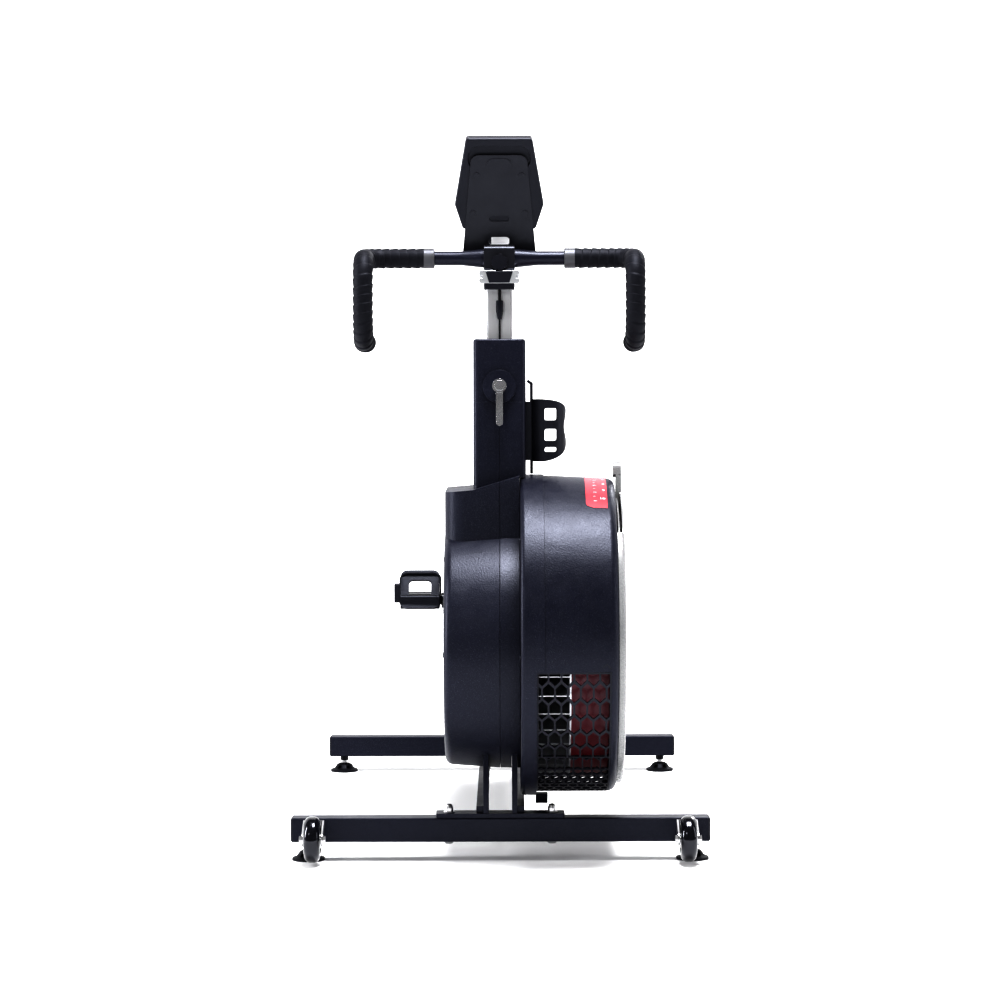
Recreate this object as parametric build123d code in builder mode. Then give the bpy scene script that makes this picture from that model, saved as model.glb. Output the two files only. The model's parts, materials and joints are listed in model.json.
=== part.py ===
"""Air bike: a fan-braked exercise bike built as separate pieces, in millimetres.

The rider faces -Y. +X is the fan side (the rider's left), -X the belt side (the rider's
right). The origin is on the floor, in the middle of the bike's length and width.
"""

from build123d import *
from math import cos, degrees, radians, sin, sqrt
import os

os.makedirs("parts", exist_ok=True)

# ---------------------------------------------------------------- driving dimensions
running_gap = 0.3  # between pieces of different bodies that move past each other
seat_gap = 0.1  # between pieces that are pushed together

beam_length = 700.0
beam_side = 40.0
beam_wall = 2.5
beam_spacing = 1120.0
end_cap_flange = 4.0
end_cap_plug = 14.0
base_plate_length = 214.0
base_plate_thickness = 7.0
base_bolt_spacing = 172.0
base_bolt_radius = 4.0

foot_height = 32.0
foot_radius = 27.0
foot_dome_radius = 18.0
foot_dome_height = 17.0
foot_stem_radius = 5.0
foot_stem_length = 42.0
foot_nut_radius = 8.0
foot_nut_height = 9.0
foot_spacing = 642.0
foot_travel = 10.0

wheel_radius = 38.0
wheel_width = 27.0
wheel_spacing = 622.0
wheel_height = 43.0
wheel_ahead = 42.0  # wheel axle ahead of the front beam's front face
wheel_axle_radius = 4.0
fork_thickness = 3.0

plate_gap = 39.0
plate_thickness = 9.0
rail_width = 11.5
rail_height = 40.0
rail_rise = 11.0  # rail top above the base plate

fan_behind_beam = 100.0  # fan axis behind the front beam's centre line
fan_height = 368.0
crank_behind_fan = 580.0
crank_height = 372.0
crank_length = 170.0
pedal_rise = 22.0  # front pedal above the crank axis in the stored position

fan_axle_radius = 10.0
fan_radius = 240.0
fan_hub_radius = 32.0
fan_disc_thickness = 3.0
vane_count = 45
vane_thickness = 2.0
vane_depth = 92.0
vane_width = 56.0
rim_width = 62.0
rim_thickness = 6.0

flywheel_radius = 165.0
flywheel_width = 14.0
fan_pulley_radius = 27.0
crank_pulley_radius = 150.0
belt_width = 14.0
belt_thickness = 4.0
pulley_clear = 0.4

crank_axle_radius = 12.0
bearing_wall = 10.0
crank_arm_thickness = 12.0
crank_face = 97.0  # inner face of each crank arm from the middle plane
crank_boss_radius = 19.0
crank_eye_radius = 14.0
spindle_radius = 7.0

pedal_width = 71.0
pedal_length = 90.0
pedal_thickness = 25.0
pedal_gap = 3.0
cage_height = 78.0
cage_thickness = 4.0
cage_lean = 32.0
strap_width = 24.0
strap_thickness = 2.5

housing_face = 34.0  # fan-side face of the band from the middle plane
housing_radius = 272.0
housing_wall = 3.0
band_width = 39.5
band_step = 1.8
shell_width = 121.0
shell_taper = 6.0
shell_corner = 14.0
intake_radius = 222.0
grille_start = 8.6  # degrees below the horizontal
grille_sweep = 105.2
grille_width = 121.0
grille_bar = 3.0
grille_rings = 7
grille_ribs = 17

side_cover_radius = 252.0
side_cover_width = 12.0
side_cover_wall = 3.0
intake_slot_count = 20
intake_slot_inner = 88.0
intake_slot_outer = 206.0
damper_reach = 293.0
damper_plate_radius = 232.0
damper_plate_thickness = 2.5
damper_lever_width = 26.0
damper_forward = 40.0  # degrees of travel from upright
damper_back = 18.0
label_thickness = 0.6

cover_half = 93.0  # belt-side face of the drive cover from the middle plane
cover_wall = 3.0
drum_radius = 207.0
drum_drop = 19.0  # drum centre below the fan axis
lobe_radius = 168.0
shoulder_behind_face = 30.0  # shoulder's front behind the front beam's front face
shoulder_outer_height = 612.5
shoulder_column_height = 617.0
shoulder_seam_height = 630.5
shoulder_corner = 34.0
cover_corner = 14.0
cover_taper = 4.0

column_behind_beam = 57.0
column_lean = 6.0
column_tube_width = 54.0
column_tube_depth = 50.0
column_tube_wall = 3.0
column_foot = 70.0  # along the column from the fan's height
column_top = 502.0
column_cover_width = 88.5
column_cover_depth = 78.0
column_cover_wall = 3.0
column_cover_foot = 150.0
column_head_height = 108.0
column_corner = 9.0

post_width = 45.0
post_depth = 29.0
post_shift = 7.0  # post centre behind the column's centre
post_foot = 262.0
post_top = 591.0
post_drop = 80.0
post_rise = 70.0

head_plate_width = 52.0
head_plate_thickness = 10.0
rail_profile_width = 68.6
rail_profile_height = 22.0
rail_profile_length = 230.0
rail_ahead_of_post = 32.0

bar_height = fan_height + 643.0
bar_behind_beam = 170.0
bar_clamp_radius = 15.9
bar_radius = 11.9
bar_half_width = 231.5
bar_reach = 98.0
bar_drop = 145.0
drop_end_length = 113.0
bar_corner = 38.0
tape_radius = 17.4
tape_start = 112.0
clamp_width = 53.0
clamp_depth = 52.0
clamp_block_height = 44.0
knob_shank_radius = 4.0
knob_shank = 7.0
knob_radius = 14.5

console_lean = 15.0
console_base_height = bar_height + 12.0
console_base_behind_bar = 33.0
bracket_bottom_half = 63.0
bracket_top_half = 48.0
bracket_length = 171.5
bracket_thickness = 2.5
console_depth = 30.0
console_bottom = 41.0
console_widest = 84.0
console_top = 200.5
console_bottom_half = 63.0
console_wide_half = 76.8
console_top_half = 57.0
recess_rim = 13.0
recess_width = 108.0
recess_height = 44.0
recess_corner = 20.0
recess_depth = 6.0
screen_width = 96.0
screen_height = 74.0
button_radius = 7.0
button_spacing = 32.0
button_stand = 2.2
button_travel = 1.5

cage_bottle_radius = 30.5
cage_wall = 2.5
cage_low = fan_height + 295.0
cage_high = fan_height + 400.0
cage_foot = fan_height + 274.0
cage_tab_high = fan_height + 429.0

seat_lean = 17.0
seat_tube_depth = 60.0
seat_tube_wall = 3.0
seat_tube_top = 505.0
seat_post_width = 32.0
seat_post_depth = 50.0
seat_post_foot = 245.0
seat_post_top = 715.0
seat_post_down = 200.0
seat_post_up = 40.0
seat_rail_length = 210.0
seat_rail_width = 34.0
seat_rail_height = 22.0
seat_slide_forward = 50.0
seat_slide_back = 40.0
pin_knob_radius = 15.0
pin_travel = 10.0
saddle_length = 268.0
saddle_width = 150.0
saddle_nose = 42.0
saddle_pad_height = 46.0
saddle_edge_radius = 14.0
saddle_shell_height = 10.0

# ---------------------------------------------------------------- derived places
front_overhang = housing_radius - fan_behind_beam
rear_overhang = beam_spacing + foot_radius
front_beam_y = (front_overhang - rear_overhang) / 2
rear_beam_y = front_beam_y + beam_spacing
beam_z = foot_height + beam_side / 2
beam_top = foot_height + beam_side
base_top = beam_top + base_plate_thickness
beam_face_y = front_beam_y - beam_side / 2
fan_y = front_beam_y + fan_behind_beam
crank_y = fan_y + crank_behind_fan
plate_face = plate_gap / 2
plate_out = plate_face + plate_thickness
rail_out = plate_out + rail_width
rail_top = base_top + rail_rise
drum_z = fan_height - drum_drop
column_y = front_beam_y + column_behind_beam
bar_y = front_beam_y + bar_behind_beam
pulley_face = plate_out + 22.5  # inner face of the belt plane
pulley_out = pulley_face + belt_width
pedal_reach = sqrt(crank_length**2 - pedal_rise**2)
seam_half = 0.2

fan_axis = Axis((0, fan_y, fan_height), (1, 0, 0))
column_plane = Plane(
    origin=(0, column_y, fan_height),
    x_dir=(1, 0, 0),
    z_dir=(0, sin(radians(column_lean)), cos(radians(column_lean))),
)
seat_plane = Plane(
    origin=(0, crank_y, crank_height),
    x_dir=(1, 0, 0),
    z_dir=(0, sin(radians(seat_lean)), cos(radians(seat_lean))),
)


def side(x):
    """Plane for a profile in (y, z) at x; it extrudes towards +X."""
    return Plane.YZ.offset(x)


def front(y):
    """Plane for a profile in (x, z) at y; it extrudes towards -Y."""
    return Plane.XZ.offset(-y)


def radial(angle):
    """Plane through the fan axis: local y is the radius, angle degrees above the front."""
    a = radians(angle)
    return Plane(origin=(0, fan_y, fan_height), x_dir=(1, 0, 0), z_dir=(0, -sin(a), -cos(a)))


def on_column(distance):
    """The point on the column's centre line at a distance above its base."""
    return column_plane.from_local_coords((0, 0, distance))


def save(part, name):
    part.label = name
    export_step(part, f"parts/{name}.step")


# ---------------------------------------------------------------- base
def make_beam(name, y):
    half = beam_length / 2 - end_cap_flange
    with BuildPart() as tube:
        with BuildSketch(side(-half)):
            with Locations((y, beam_z)):
                RectangleRounded(beam_side, beam_side, 3)
                Rectangle(beam_side - 2 * beam_wall, beam_side - 2 * beam_wall, mode=Mode.SUBTRACT)
        extrude(amount=2 * half)
        with BuildSketch(Plane.XY.offset(foot_height)):
            with Locations((foot_spacing / 2, y), (-foot_spacing / 2, y)):
                Circle(foot_stem_radius + running_gap)
        extrude(amount=beam_wall, mode=Mode.SUBTRACT)
        with BuildSketch(Plane.XY.offset(foot_height)):
            with Locations((base_bolt_spacing / 2, y), (-base_bolt_spacing / 2, y)):
                Circle(base_bolt_radius + seat_gap)
        extrude(amount=beam_side, mode=Mode.SUBTRACT)
    save(tube.part, name)


make_beam("front_beam", front_beam_y)
make_beam("rear_beam", rear_beam_y)


def make_end_caps():
    inner = beam_side - 2 * beam_wall - 2 * seat_gap
    plug_start = beam_length / 2 - end_cap_flange - end_cap_plug
    with BuildPart() as caps:
        for y in (front_beam_y, rear_beam_y):
            with BuildSketch(side(beam_length / 2 - end_cap_flange)):
                with Locations((y, beam_z)):
                    RectangleRounded(beam_side, beam_side, 3)
            extrude(amount=end_cap_flange)
            with BuildSketch(side(plug_start)):
                with Locations((y, beam_z)):
                    Rectangle(inner, inner)
            extrude(amount=end_cap_plug)
        chamfer(caps.faces().sort_by(Axis.X)[-2:].edges(), 2.5)
        mirror(about=Plane.YZ)
    save(caps.part, "beam_end_caps")


make_end_caps()


def make_base_rails():
    rail_low = rail_top - rail_height
    front_end = front_beam_y - beam_side / 2 + 10
    rear_end = rear_beam_y + beam_side / 2 - 10
    front_inside = front_beam_y + beam_side / 2
    rear_inside = rear_beam_y - beam_side / 2
    with BuildPart() as rails:
        for y in (front_beam_y, rear_beam_y):
            with BuildSketch(Plane.XY.offset(beam_top)):
                with Locations((0, y)):
                    RectangleRounded(base_plate_length, beam_side, 4)
                    with GridLocations(base_bolt_spacing, 0, 2, 1):
                        Circle(base_bolt_radius + seat_gap, mode=Mode.SUBTRACT)
            extrude(amount=base_plate_thickness)
        for x in (plate_out, -rail_out):
            with BuildSketch(side(x)):
                with BuildLine():
                    Polyline(
                        (front_end, base_top),
                        (front_end, rail_top),
                        (rear_end, rail_top),
                        (rear_end, base_top),
                        (rear_inside, base_top),
                        (rear_inside, rail_low),
                        (front_inside, rail_low),
                        (front_inside, base_top),
                        close=True,
                    )
                make_face()
            extrude(amount=rail_width)
    save(rails.part, "base_rails")


make_base_rails()


def make_base_bolts():
    head_height = 5.0
    head_radius = 10.0
    nut_height = 7.0
    nut_dome = 7.0
    with BuildPart() as bolts:
        for y in (front_beam_y, rear_beam_y):
            for x in (-base_bolt_spacing / 2, base_bolt_spacing / 2):
                with BuildSketch(Plane(origin=(x, y, 0), x_dir=(1, 0, 0), z_dir=(0, -1, 0))) as half:
                    with BuildLine():
                        Polyline(
                            (0, foot_height - head_height),
                            (head_radius * 0.6, foot_height - head_height),
                            (head_radius, foot_height),
                            (base_bolt_radius, foot_height),
                            (base_bolt_radius, base_top),
                            (head_radius, base_top),
                            (head_radius, base_top + 1.6),
                            (base_bolt_radius + 3, base_top + 1.6),
                            (base_bolt_radius + 3, base_top + nut_height),
                            (base_bolt_radius + 1.5, base_top + nut_height + nut_dome - 2),
                            (2.5, base_top + nut_height + nut_dome),
                            (0, base_top + nut_height + nut_dome),
                            close=True,
                        )
                    make_face()
                revolve(axis=Axis((x, y, 0), (0, 0, 1)))
    save(bolts.part, "base_bolts")


make_base_bolts()


def make_foot(name, x, y):
    arch_count = 6
    with BuildPart() as foot:
        with BuildSketch(Plane(origin=(x, y, 0), x_dir=(1, 0, 0), z_dir=(0, -1, 0))):
            with BuildLine():
                Polyline(
                    (0, 0),
                    (foot_radius, 0),
                    (foot_radius, 4),
                    (foot_dome_radius + 2, 7),
                    (foot_dome_radius - 3, foot_dome_height - 3),
                    (foot_nut_radius + 2, foot_dome_height),
                    (0, foot_dome_height),
                    close=True,
                )
            make_face()
        revolve(axis=Axis((x, y, 0), (0, 0, 1)))
        with BuildSketch(Plane.XY.offset(7)):
            with Locations((x, y)):
                with PolarLocations(foot_dome_radius, arch_count):
                    Rectangle(14, 7)
        extrude(amount=6, mode=Mode.SUBTRACT)
        with BuildSketch(Plane.XY.offset(foot_dome_height)):
            with Locations((x, y)):
                Circle(foot_stem_radius)
        extrude(amount=foot_stem_length)
        with BuildSketch(Plane.XY.offset(foot_height - running_gap - foot_nut_height)):
            with Locations((x, y)):
                RegularPolygon(foot_nut_radius, 6)
        extrude(amount=foot_nut_height)
    save(foot.part, name)


for foot_name, foot_x, foot_y in (
    ("foot_front_left", foot_spacing / 2, front_beam_y),
    ("foot_front_right", -foot_spacing / 2, front_beam_y),
    ("foot_rear_left", foot_spacing / 2, rear_beam_y),
    ("foot_rear_right", -foot_spacing / 2, rear_beam_y),
):
    make_foot(foot_name, foot_x, foot_y)


# ---------------------------------------------------------------- transport wheels
wheel_y = beam_face_y - wheel_ahead
fork_inside = wheel_width / 2 + 1


def make_wheel(name, x):
    hub_radius = 15.0
    with BuildPart() as wheel:
        with BuildSketch(side(x - wheel_width / 2)):
            with Locations((wheel_y, wheel_height)):
                Circle(wheel_radius)
        extrude(amount=wheel_width)
        fillet(wheel.edges().filter_by(GeomType.CIRCLE), wheel_width * 0.42)
        with BuildSketch(side(x - wheel_width / 2)):
            with Locations((wheel_y, wheel_height)):
                Circle(wheel_radius * 0.62)
                Circle(hub_radius, mode=Mode.SUBTRACT)
        extrude(amount=5, mode=Mode.SUBTRACT)
        with BuildSketch(side(x + wheel_width / 2)):
            with Locations((wheel_y, wheel_height)):
                Circle(wheel_radius * 0.62)
                Circle(hub_radius, mode=Mode.SUBTRACT)
        extrude(amount=-5, mode=Mode.SUBTRACT)
        with BuildSketch(side(x - wheel_width / 2)):
            with Locations((wheel_y, wheel_height)):
                Circle(wheel_axle_radius + 0.1)
        extrude(amount=wheel_width, mode=Mode.SUBTRACT)
    save(wheel.part, name)


make_wheel("transport_wheel_left", wheel_spacing / 2)
make_wheel("transport_wheel_right", -wheel_spacing / 2)


def make_wheel_brackets():
    bolt_head_radius = 6.5
    bolt_head_height = 4.5
    web_top = beam_top - 3
    web_low = foot_height + 4
    with BuildPart() as brackets:
        for x in (-wheel_spacing / 2, wheel_spacing / 2):
            for cheek in (x - fork_inside - fork_thickness, x + fork_inside):
                with BuildSketch(side(cheek)):
                    with Locations((wheel_y, wheel_height)):
                        Circle(11)
                    with Locations((beam_face_y - fork_thickness / 2, (web_top + web_low) / 2)):
                        Rectangle(fork_thickness, web_top - web_low)
                    make_hull()
                    with Locations((wheel_y, wheel_height)):
                        Circle(wheel_axle_radius + 0.05, mode=Mode.SUBTRACT)
                extrude(amount=fork_thickness)
            with BuildSketch(front(beam_face_y)):
                with Locations((x, (web_top + web_low) / 2)):
                    Rectangle(2 * (fork_inside + fork_thickness), web_top - web_low)
            extrude(amount=fork_thickness)
            out = fork_inside + fork_thickness
            with BuildSketch(side(x - out)):
                with Locations((wheel_y, wheel_height)):
                    Circle(wheel_axle_radius)
            extrude(amount=2 * out)
            for head_x in (x - out - bolt_head_height, x + out):
                with BuildSketch(side(head_x)):
                    with Locations((wheel_y, wheel_height)):
                        RegularPolygon(bolt_head_radius, 6)
                extrude(amount=bolt_head_height)
    save(brackets.part, "wheel_brackets")


make_wheel_brackets()


# ---------------------------------------------------------------- frame
column_foot_front = column_plane.from_local_coords((0, -column_tube_width / 2, column_foot))
column_foot_back = column_plane.from_local_coords((0, column_tube_width / 2, column_foot))
plate_front = beam_face_y + 2
plate_outline = [
    (plate_front, base_top),
    (plate_front, base_top + 70),
    (column_foot_front.Y, column_foot_front.Z),
    (column_foot_back.Y, column_foot_back.Z),
    (fan_y + 110, fan_height - 38),
    (crank_y - 100, crank_height + 30),
    (crank_y - 50, crank_height + 68),
    (crank_y + 50, crank_height + 68),
    (crank_y + 90, crank_height - 40),
    (crank_y + 300, rail_top + 10),
    (crank_y + 300, rail_top),
    (crank_y - 220, rail_top),
    (crank_y - 270, rail_top + 35),
    (crank_y - 400, base_top + 39),
    (beam_face_y + 38, base_top + 25),
    (beam_face_y + 38, base_top),
]

plate_window = [
    (fan_y + 80, fan_height - 180),
    (fan_y + 130, fan_height - 80),
    (crank_y - 95, crank_height - 20),
    (crank_y - 60, crank_height - 110),
    (crank_y - 190, rail_top + 90),
]
leg_window = [
    (crank_y - 90, rail_top + 60),
    (crank_y - 10, crank_height - 120),
    (crank_y + 60, crank_height - 130),
    (crank_y + 190, rail_top + 60),
]


def make_side_plates():
    with BuildPart() as plates:
        for x in (-plate_out, plate_face):
            with BuildSketch(side(x)):
                with BuildLine():
                    Polyline(*plate_outline, close=True)
                make_face()
                with Locations((fan_y, fan_height)):
                    Circle(fan_axle_radius + bearing_wall, mode=Mode.SUBTRACT)
                with Locations((crank_y, crank_height)):
                    Circle(crank_axle_radius + bearing_wall, mode=Mode.SUBTRACT)
                with BuildLine():
                    FilletPolyline(*plate_window, radius=20, close=True)
                make_face(mode=Mode.SUBTRACT)
                with BuildLine():
                    FilletPolyline(*leg_window, radius=16, close=True)
                make_face(mode=Mode.SUBTRACT)
            extrude(amount=plate_thickness)
    save(plates.part, "side_plates")


make_side_plates()


def make_column_tube():
    with BuildPart() as tube:
        with BuildSketch(column_plane.offset(column_foot)):
            RectangleRounded(column_tube_width, column_tube_depth, 4)
            inner_width = column_tube_width - 2 * column_tube_wall
            inner_depth = column_tube_depth - 2 * column_tube_wall
            RectangleRounded(inner_width, inner_depth, 1.5, mode=Mode.SUBTRACT)
        extrude(amount=column_top - column_foot - 12)
    save(tube.part, "column_tube")


make_column_tube()


def make_seat_tube():
    shell_radius = 31.0
    inner_width = plate_gap - 2 * seat_tube_wall
    inner_depth = seat_tube_depth - 2 * seat_tube_wall
    with BuildPart() as tube:
        with BuildSketch(seat_plane):
            Rectangle(plate_gap, seat_tube_depth)
        extrude(amount=seat_tube_top)
        with BuildSketch(side(-plate_face)):
            with Locations((crank_y, crank_height)):
                Circle(shell_radius)
        extrude(amount=plate_gap)
        with BuildSketch(side(-plate_face)):
            with Locations((crank_y, crank_height)):
                Circle(crank_axle_radius + bearing_wall)
        extrude(amount=plate_gap, mode=Mode.SUBTRACT)
        with BuildSketch(seat_plane.offset(shell_radius + 6)):
            Rectangle(inner_width, inner_depth)
        extrude(amount=seat_tube_top, mode=Mode.SUBTRACT)
        pin_plane = Plane(
            origin=seat_plane.from_local_coords((0, seat_tube_depth / 2, seat_tube_top - 35)),
            x_dir=(1, 0, 0),
            z_dir=seat_plane.y_dir,
        )
        with BuildSketch(pin_plane):
            Circle(5 + running_gap)
        extrude(amount=-seat_tube_wall, mode=Mode.SUBTRACT)
    save(tube.part, "seat_tube")


make_seat_tube()


def make_bearings():
    with BuildPart() as rings:
        for y, z, axle_radius in (
            (fan_y, fan_height, fan_axle_radius),
            (crank_y, crank_height, crank_axle_radius),
        ):
            for x in (-plate_out, plate_face):
                with BuildSketch(side(x)):
                    with Locations((y, z)):
                        Circle(axle_radius + bearing_wall)
                        Circle(axle_radius + 0.05, mode=Mode.SUBTRACT)
                extrude(amount=plate_thickness)
    save(rings.part, "bearings")


make_bearings()


# ---------------------------------------------------------------- drive
axle_inner = plate_out + running_gap
fan_hub_start = housing_face + housing_wall + 5
vane_start = 58.0
disc_start = vane_start + vane_width
rim_start = disc_start + fan_disc_thickness


def make_fan_axle():
    low = -(pulley_out + flywheel_width + 6)
    high = rim_start + rim_width
    with BuildPart() as axle:
        with BuildSketch(side(low)):
            with Locations((fan_y, fan_height)):
                Circle(fan_axle_radius)
        extrude(amount=high - low)
    save(axle.part, "fan_axle")


make_fan_axle()


def make_flywheel():
    disc_low = -(pulley_out + 4 + flywheel_width)
    with BuildPart() as wheel:
        with BuildSketch(side(disc_low)):
            with Locations((fan_y, fan_height)):
                Circle(flywheel_radius)
        extrude(amount=flywheel_width)
        with BuildSketch(side(disc_low + 3)):
            with Locations((fan_y, fan_height)):
                Circle(flywheel_radius - 28)
                Circle(48, mode=Mode.SUBTRACT)
        extrude(amount=-3, mode=Mode.SUBTRACT)
        with BuildSketch(side(disc_low + flywheel_width)):
            with Locations((fan_y, fan_height)):
                Circle(fan_pulley_radius + 4)
        extrude(amount=4)
        with BuildSketch(side(-pulley_out)):
            with Locations((fan_y, fan_height)):
                Circle(fan_pulley_radius)
        extrude(amount=belt_width)
        with BuildSketch(side(-pulley_face)):
            with Locations((fan_y, fan_height)):
                Circle(fan_pulley_radius + 4)
        extrude(amount=2)
        with BuildSketch(side(disc_low)):
            with Locations((fan_y, fan_height)):
                Circle(fan_axle_radius)
        extrude(amount=flywheel_width + belt_width + 10, mode=Mode.SUBTRACT)
    save(wheel.part, "flywheel")


make_flywheel()


def make_crank_pulley():
    spoke_count = 5
    with BuildPart() as pulley:
        with BuildSketch(side(-pulley_out)):
            with Locations((crank_y, crank_height)):
                Circle(crank_pulley_radius)
                Circle(crank_axle_radius, mode=Mode.SUBTRACT)
        extrude(amount=belt_width)
        with BuildSketch(side(-pulley_out)):
            with Locations((crank_y, crank_height)):
                with PolarLocations(88, spoke_count):
                    Circle(33)
        extrude(amount=belt_width, mode=Mode.SUBTRACT)
        with BuildSketch(side(-crank_face)):
            with Locations((crank_y, crank_height)):
                Circle(crank_axle_radius + 12)
                Circle(crank_axle_radius, mode=Mode.SUBTRACT)
        extrude(amount=crank_face - pulley_out)
    save(pulley.part, "crank_pulley")


make_crank_pulley()


def make_belt():
    fan_in = fan_pulley_radius + pulley_clear
    crank_in = crank_pulley_radius + pulley_clear
    with BuildPart() as belt:
        with BuildSketch(side(-pulley_out + 1)):
            with Locations((fan_y, fan_height)):
                Circle(fan_in + belt_thickness)
            with Locations((crank_y, crank_height)):
                Circle(crank_in + belt_thickness)
            make_hull()
        extrude(amount=belt_width - 2)
        with BuildSketch(side(-pulley_out + 1)):
            with Locations((fan_y, fan_height)):
                Circle(fan_in)
            with Locations((crank_y, crank_height)):
                Circle(crank_in)
            make_hull()
        extrude(amount=belt_width - 2, mode=Mode.SUBTRACT)
    save(belt.part, "drive_belt")


make_belt()


def make_crank_axle():
    with BuildPart() as axle:
        with BuildSketch(side(-crank_face - crank_arm_thickness)):
            with Locations((crank_y, crank_height)):
                Circle(crank_axle_radius)
        extrude(amount=2 * (crank_face + crank_arm_thickness))
    save(axle.part, "crank_axle")


make_crank_axle()

pedal_places = {
    "right": (-1, crank_y - pedal_reach, crank_height + pedal_rise),
    "left": (1, crank_y + pedal_reach, crank_height - pedal_rise),
}


def make_crank_arm(name, sign, y, z):
    low = crank_face if sign > 0 else -crank_face - crank_arm_thickness
    spindle_low = crank_face + 1 if sign > 0 else -crank_face - crank_arm_thickness - pedal_width
    spindle_length = crank_arm_thickness + pedal_width - 1
    with BuildPart() as arm:
        with BuildSketch(side(low)):
            with Locations((crank_y, crank_height)):
                Circle(crank_boss_radius)
            with Locations((y, z)):
                Circle(crank_eye_radius)
            make_hull()
            with Locations((crank_y, crank_height)):
                Circle(crank_axle_radius, mode=Mode.SUBTRACT)
        extrude(amount=crank_arm_thickness)
        with BuildSketch(side(spindle_low)):
            with Locations((y, z)):
                Circle(spindle_radius)
        extrude(amount=spindle_length)
    save(arm.part, name)


def make_pedal(name, sign, y, z):
    bore = spindle_radius + 0.1
    inside = crank_face + crank_arm_thickness + pedal_gap
    low = inside if sign > 0 else -inside - pedal_width
    middle = low + pedal_width / 2
    buckle_x = low + pedal_width if sign > 0 else low - 12
    cage_plane = Plane(
        origin=(middle, y - pedal_length / 2 - 1, z - pedal_thickness / 2),
        x_dir=(1, 0, 0),
        z_dir=(0, -cos(radians(cage_lean)), sin(radians(cage_lean))),
    )
    with BuildPart() as pedal:
        with BuildSketch(side(low)):
            with Locations((y, z)):
                RectangleRounded(pedal_length, pedal_thickness, 6)
        extrude(amount=pedal_width)
        with BuildSketch(Plane.XY.offset(z - pedal_thickness)):
            with Locations((middle, y - 27), (middle, y + 27)):
                Rectangle(pedal_width - 18, 18)
        extrude(amount=2 * pedal_thickness, mode=Mode.SUBTRACT)
        with BuildSketch(cage_plane):
            with Locations((0, cage_height / 2)):
                RectangleRounded(pedal_width, cage_height, 12)
            with Locations((0, cage_height * 0.52)):
                RectangleRounded(pedal_width - 30, 34, 8, mode=Mode.SUBTRACT)
        extrude(amount=cage_thickness)
        strap_low = z - pedal_thickness / 2 - strap_thickness
        strap_high = z + 52
        with BuildSketch(front(y + strap_width / 2 - 4)):
            with Locations((middle, (strap_low + strap_high) / 2)):
                RectangleRounded(
                    pedal_width + 2 * strap_thickness, strap_high - strap_low, 14
                )
                RectangleRounded(
                    pedal_width, strap_high - strap_low - 2 * strap_thickness, 12, mode=Mode.SUBTRACT
                )
        extrude(amount=strap_width)
        with BuildSketch(side(buckle_x)):
            with Locations((y - 4, z + 14)):
                RectangleRounded(26, 34, 3)
        extrude(amount=12)
        with BuildSketch(side(low - strap_thickness - 1)):
            with Locations((y, z)):
                Circle(bore)
        extrude(amount=pedal_width + 2 * strap_thickness + 2, mode=Mode.SUBTRACT)
    save(pedal.part, name)


for pedal_side, (pedal_sign, pedal_y, pedal_z) in pedal_places.items():
    make_crank_arm(f"crank_arm_{pedal_side}", pedal_sign, pedal_y, pedal_z)
    make_pedal(f"pedal_{pedal_side}", pedal_sign, pedal_y, pedal_z)


# ---------------------------------------------------------------- fan
def make_fan_wheel():
    with BuildPart() as fan:
        with BuildSketch(side(fan_hub_start)):
            with Locations((fan_y, fan_height)):
                Circle(fan_hub_radius)
        extrude(amount=rim_start + 20 - fan_hub_start)
        with BuildSketch(side(disc_start)):
            with Locations((fan_y, fan_height)):
                Circle(fan_radius)
        extrude(amount=fan_disc_thickness)
        with BuildSketch(side(vane_start)):
            with Locations((fan_y, fan_height)):
                with PolarLocations(fan_radius - vane_depth / 2, vane_count):
                    Rectangle(vane_depth, vane_thickness)
        extrude(amount=vane_width)
        with BuildSketch(side(fan_hub_start)):
            with Locations((fan_y, fan_height)):
                Circle(fan_axle_radius)
        extrude(amount=rim_start + 20 - fan_hub_start, mode=Mode.SUBTRACT)
    save(fan.part, "fan_wheel")


make_fan_wheel()


def make_fan_rim():
    with BuildPart() as rim:
        with BuildSketch(side(rim_start)):
            with Locations((fan_y, fan_height)):
                Circle(fan_radius)
                Circle(fan_radius - rim_thickness, mode=Mode.SUBTRACT)
        extrude(amount=rim_width)
    save(rim.part, "fan_rim")


make_fan_rim()

band_out = housing_face + band_width
shell_out = band_out + shell_width
shell_radius_start = housing_radius - band_step
shell_radius_end = shell_radius_start - shell_taper
grille_low = shell_out - grille_width - 13
grille_high = shell_out - 13


# the sector of the housing's wall that the grille fills
with BuildPart() as grille_window:
    with BuildSketch(radial(-grille_start)):
        with Locations(((grille_low + grille_high) / 2, housing_radius)):
            Rectangle(grille_high - grille_low, 60)
    revolve(axis=fan_axis, revolution_arc=grille_sweep)


def make_housing_band():
    axle_hole = 62.0
    with BuildPart() as band:
        with BuildSketch(side(housing_face)):
            with Locations((fan_y, fan_height)):
                Circle(housing_radius)
        extrude(amount=band_width)
        fillet(band.faces().sort_by(Axis.X)[0].edges(), 8)
        with BuildSketch(side(housing_face + housing_wall)):
            with Locations((fan_y, fan_height)):
                Circle(housing_radius - housing_wall - 1)
        extrude(amount=band_width, mode=Mode.SUBTRACT)
        with BuildSketch(side(housing_face)):
            with Locations((fan_y, fan_height)):
                Circle(axle_hole)
        extrude(amount=housing_wall, mode=Mode.SUBTRACT)
        add(grille_window.part, mode=Mode.SUBTRACT)
        with BuildSketch(front(fan_y + 10)):
            with Locations((housing_face + 36, fan_height - housing_radius - 7)):
                Rectangle(20, 16)
        extrude(amount=20)
    save(band.part, "housing_band")


make_housing_band()


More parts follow.
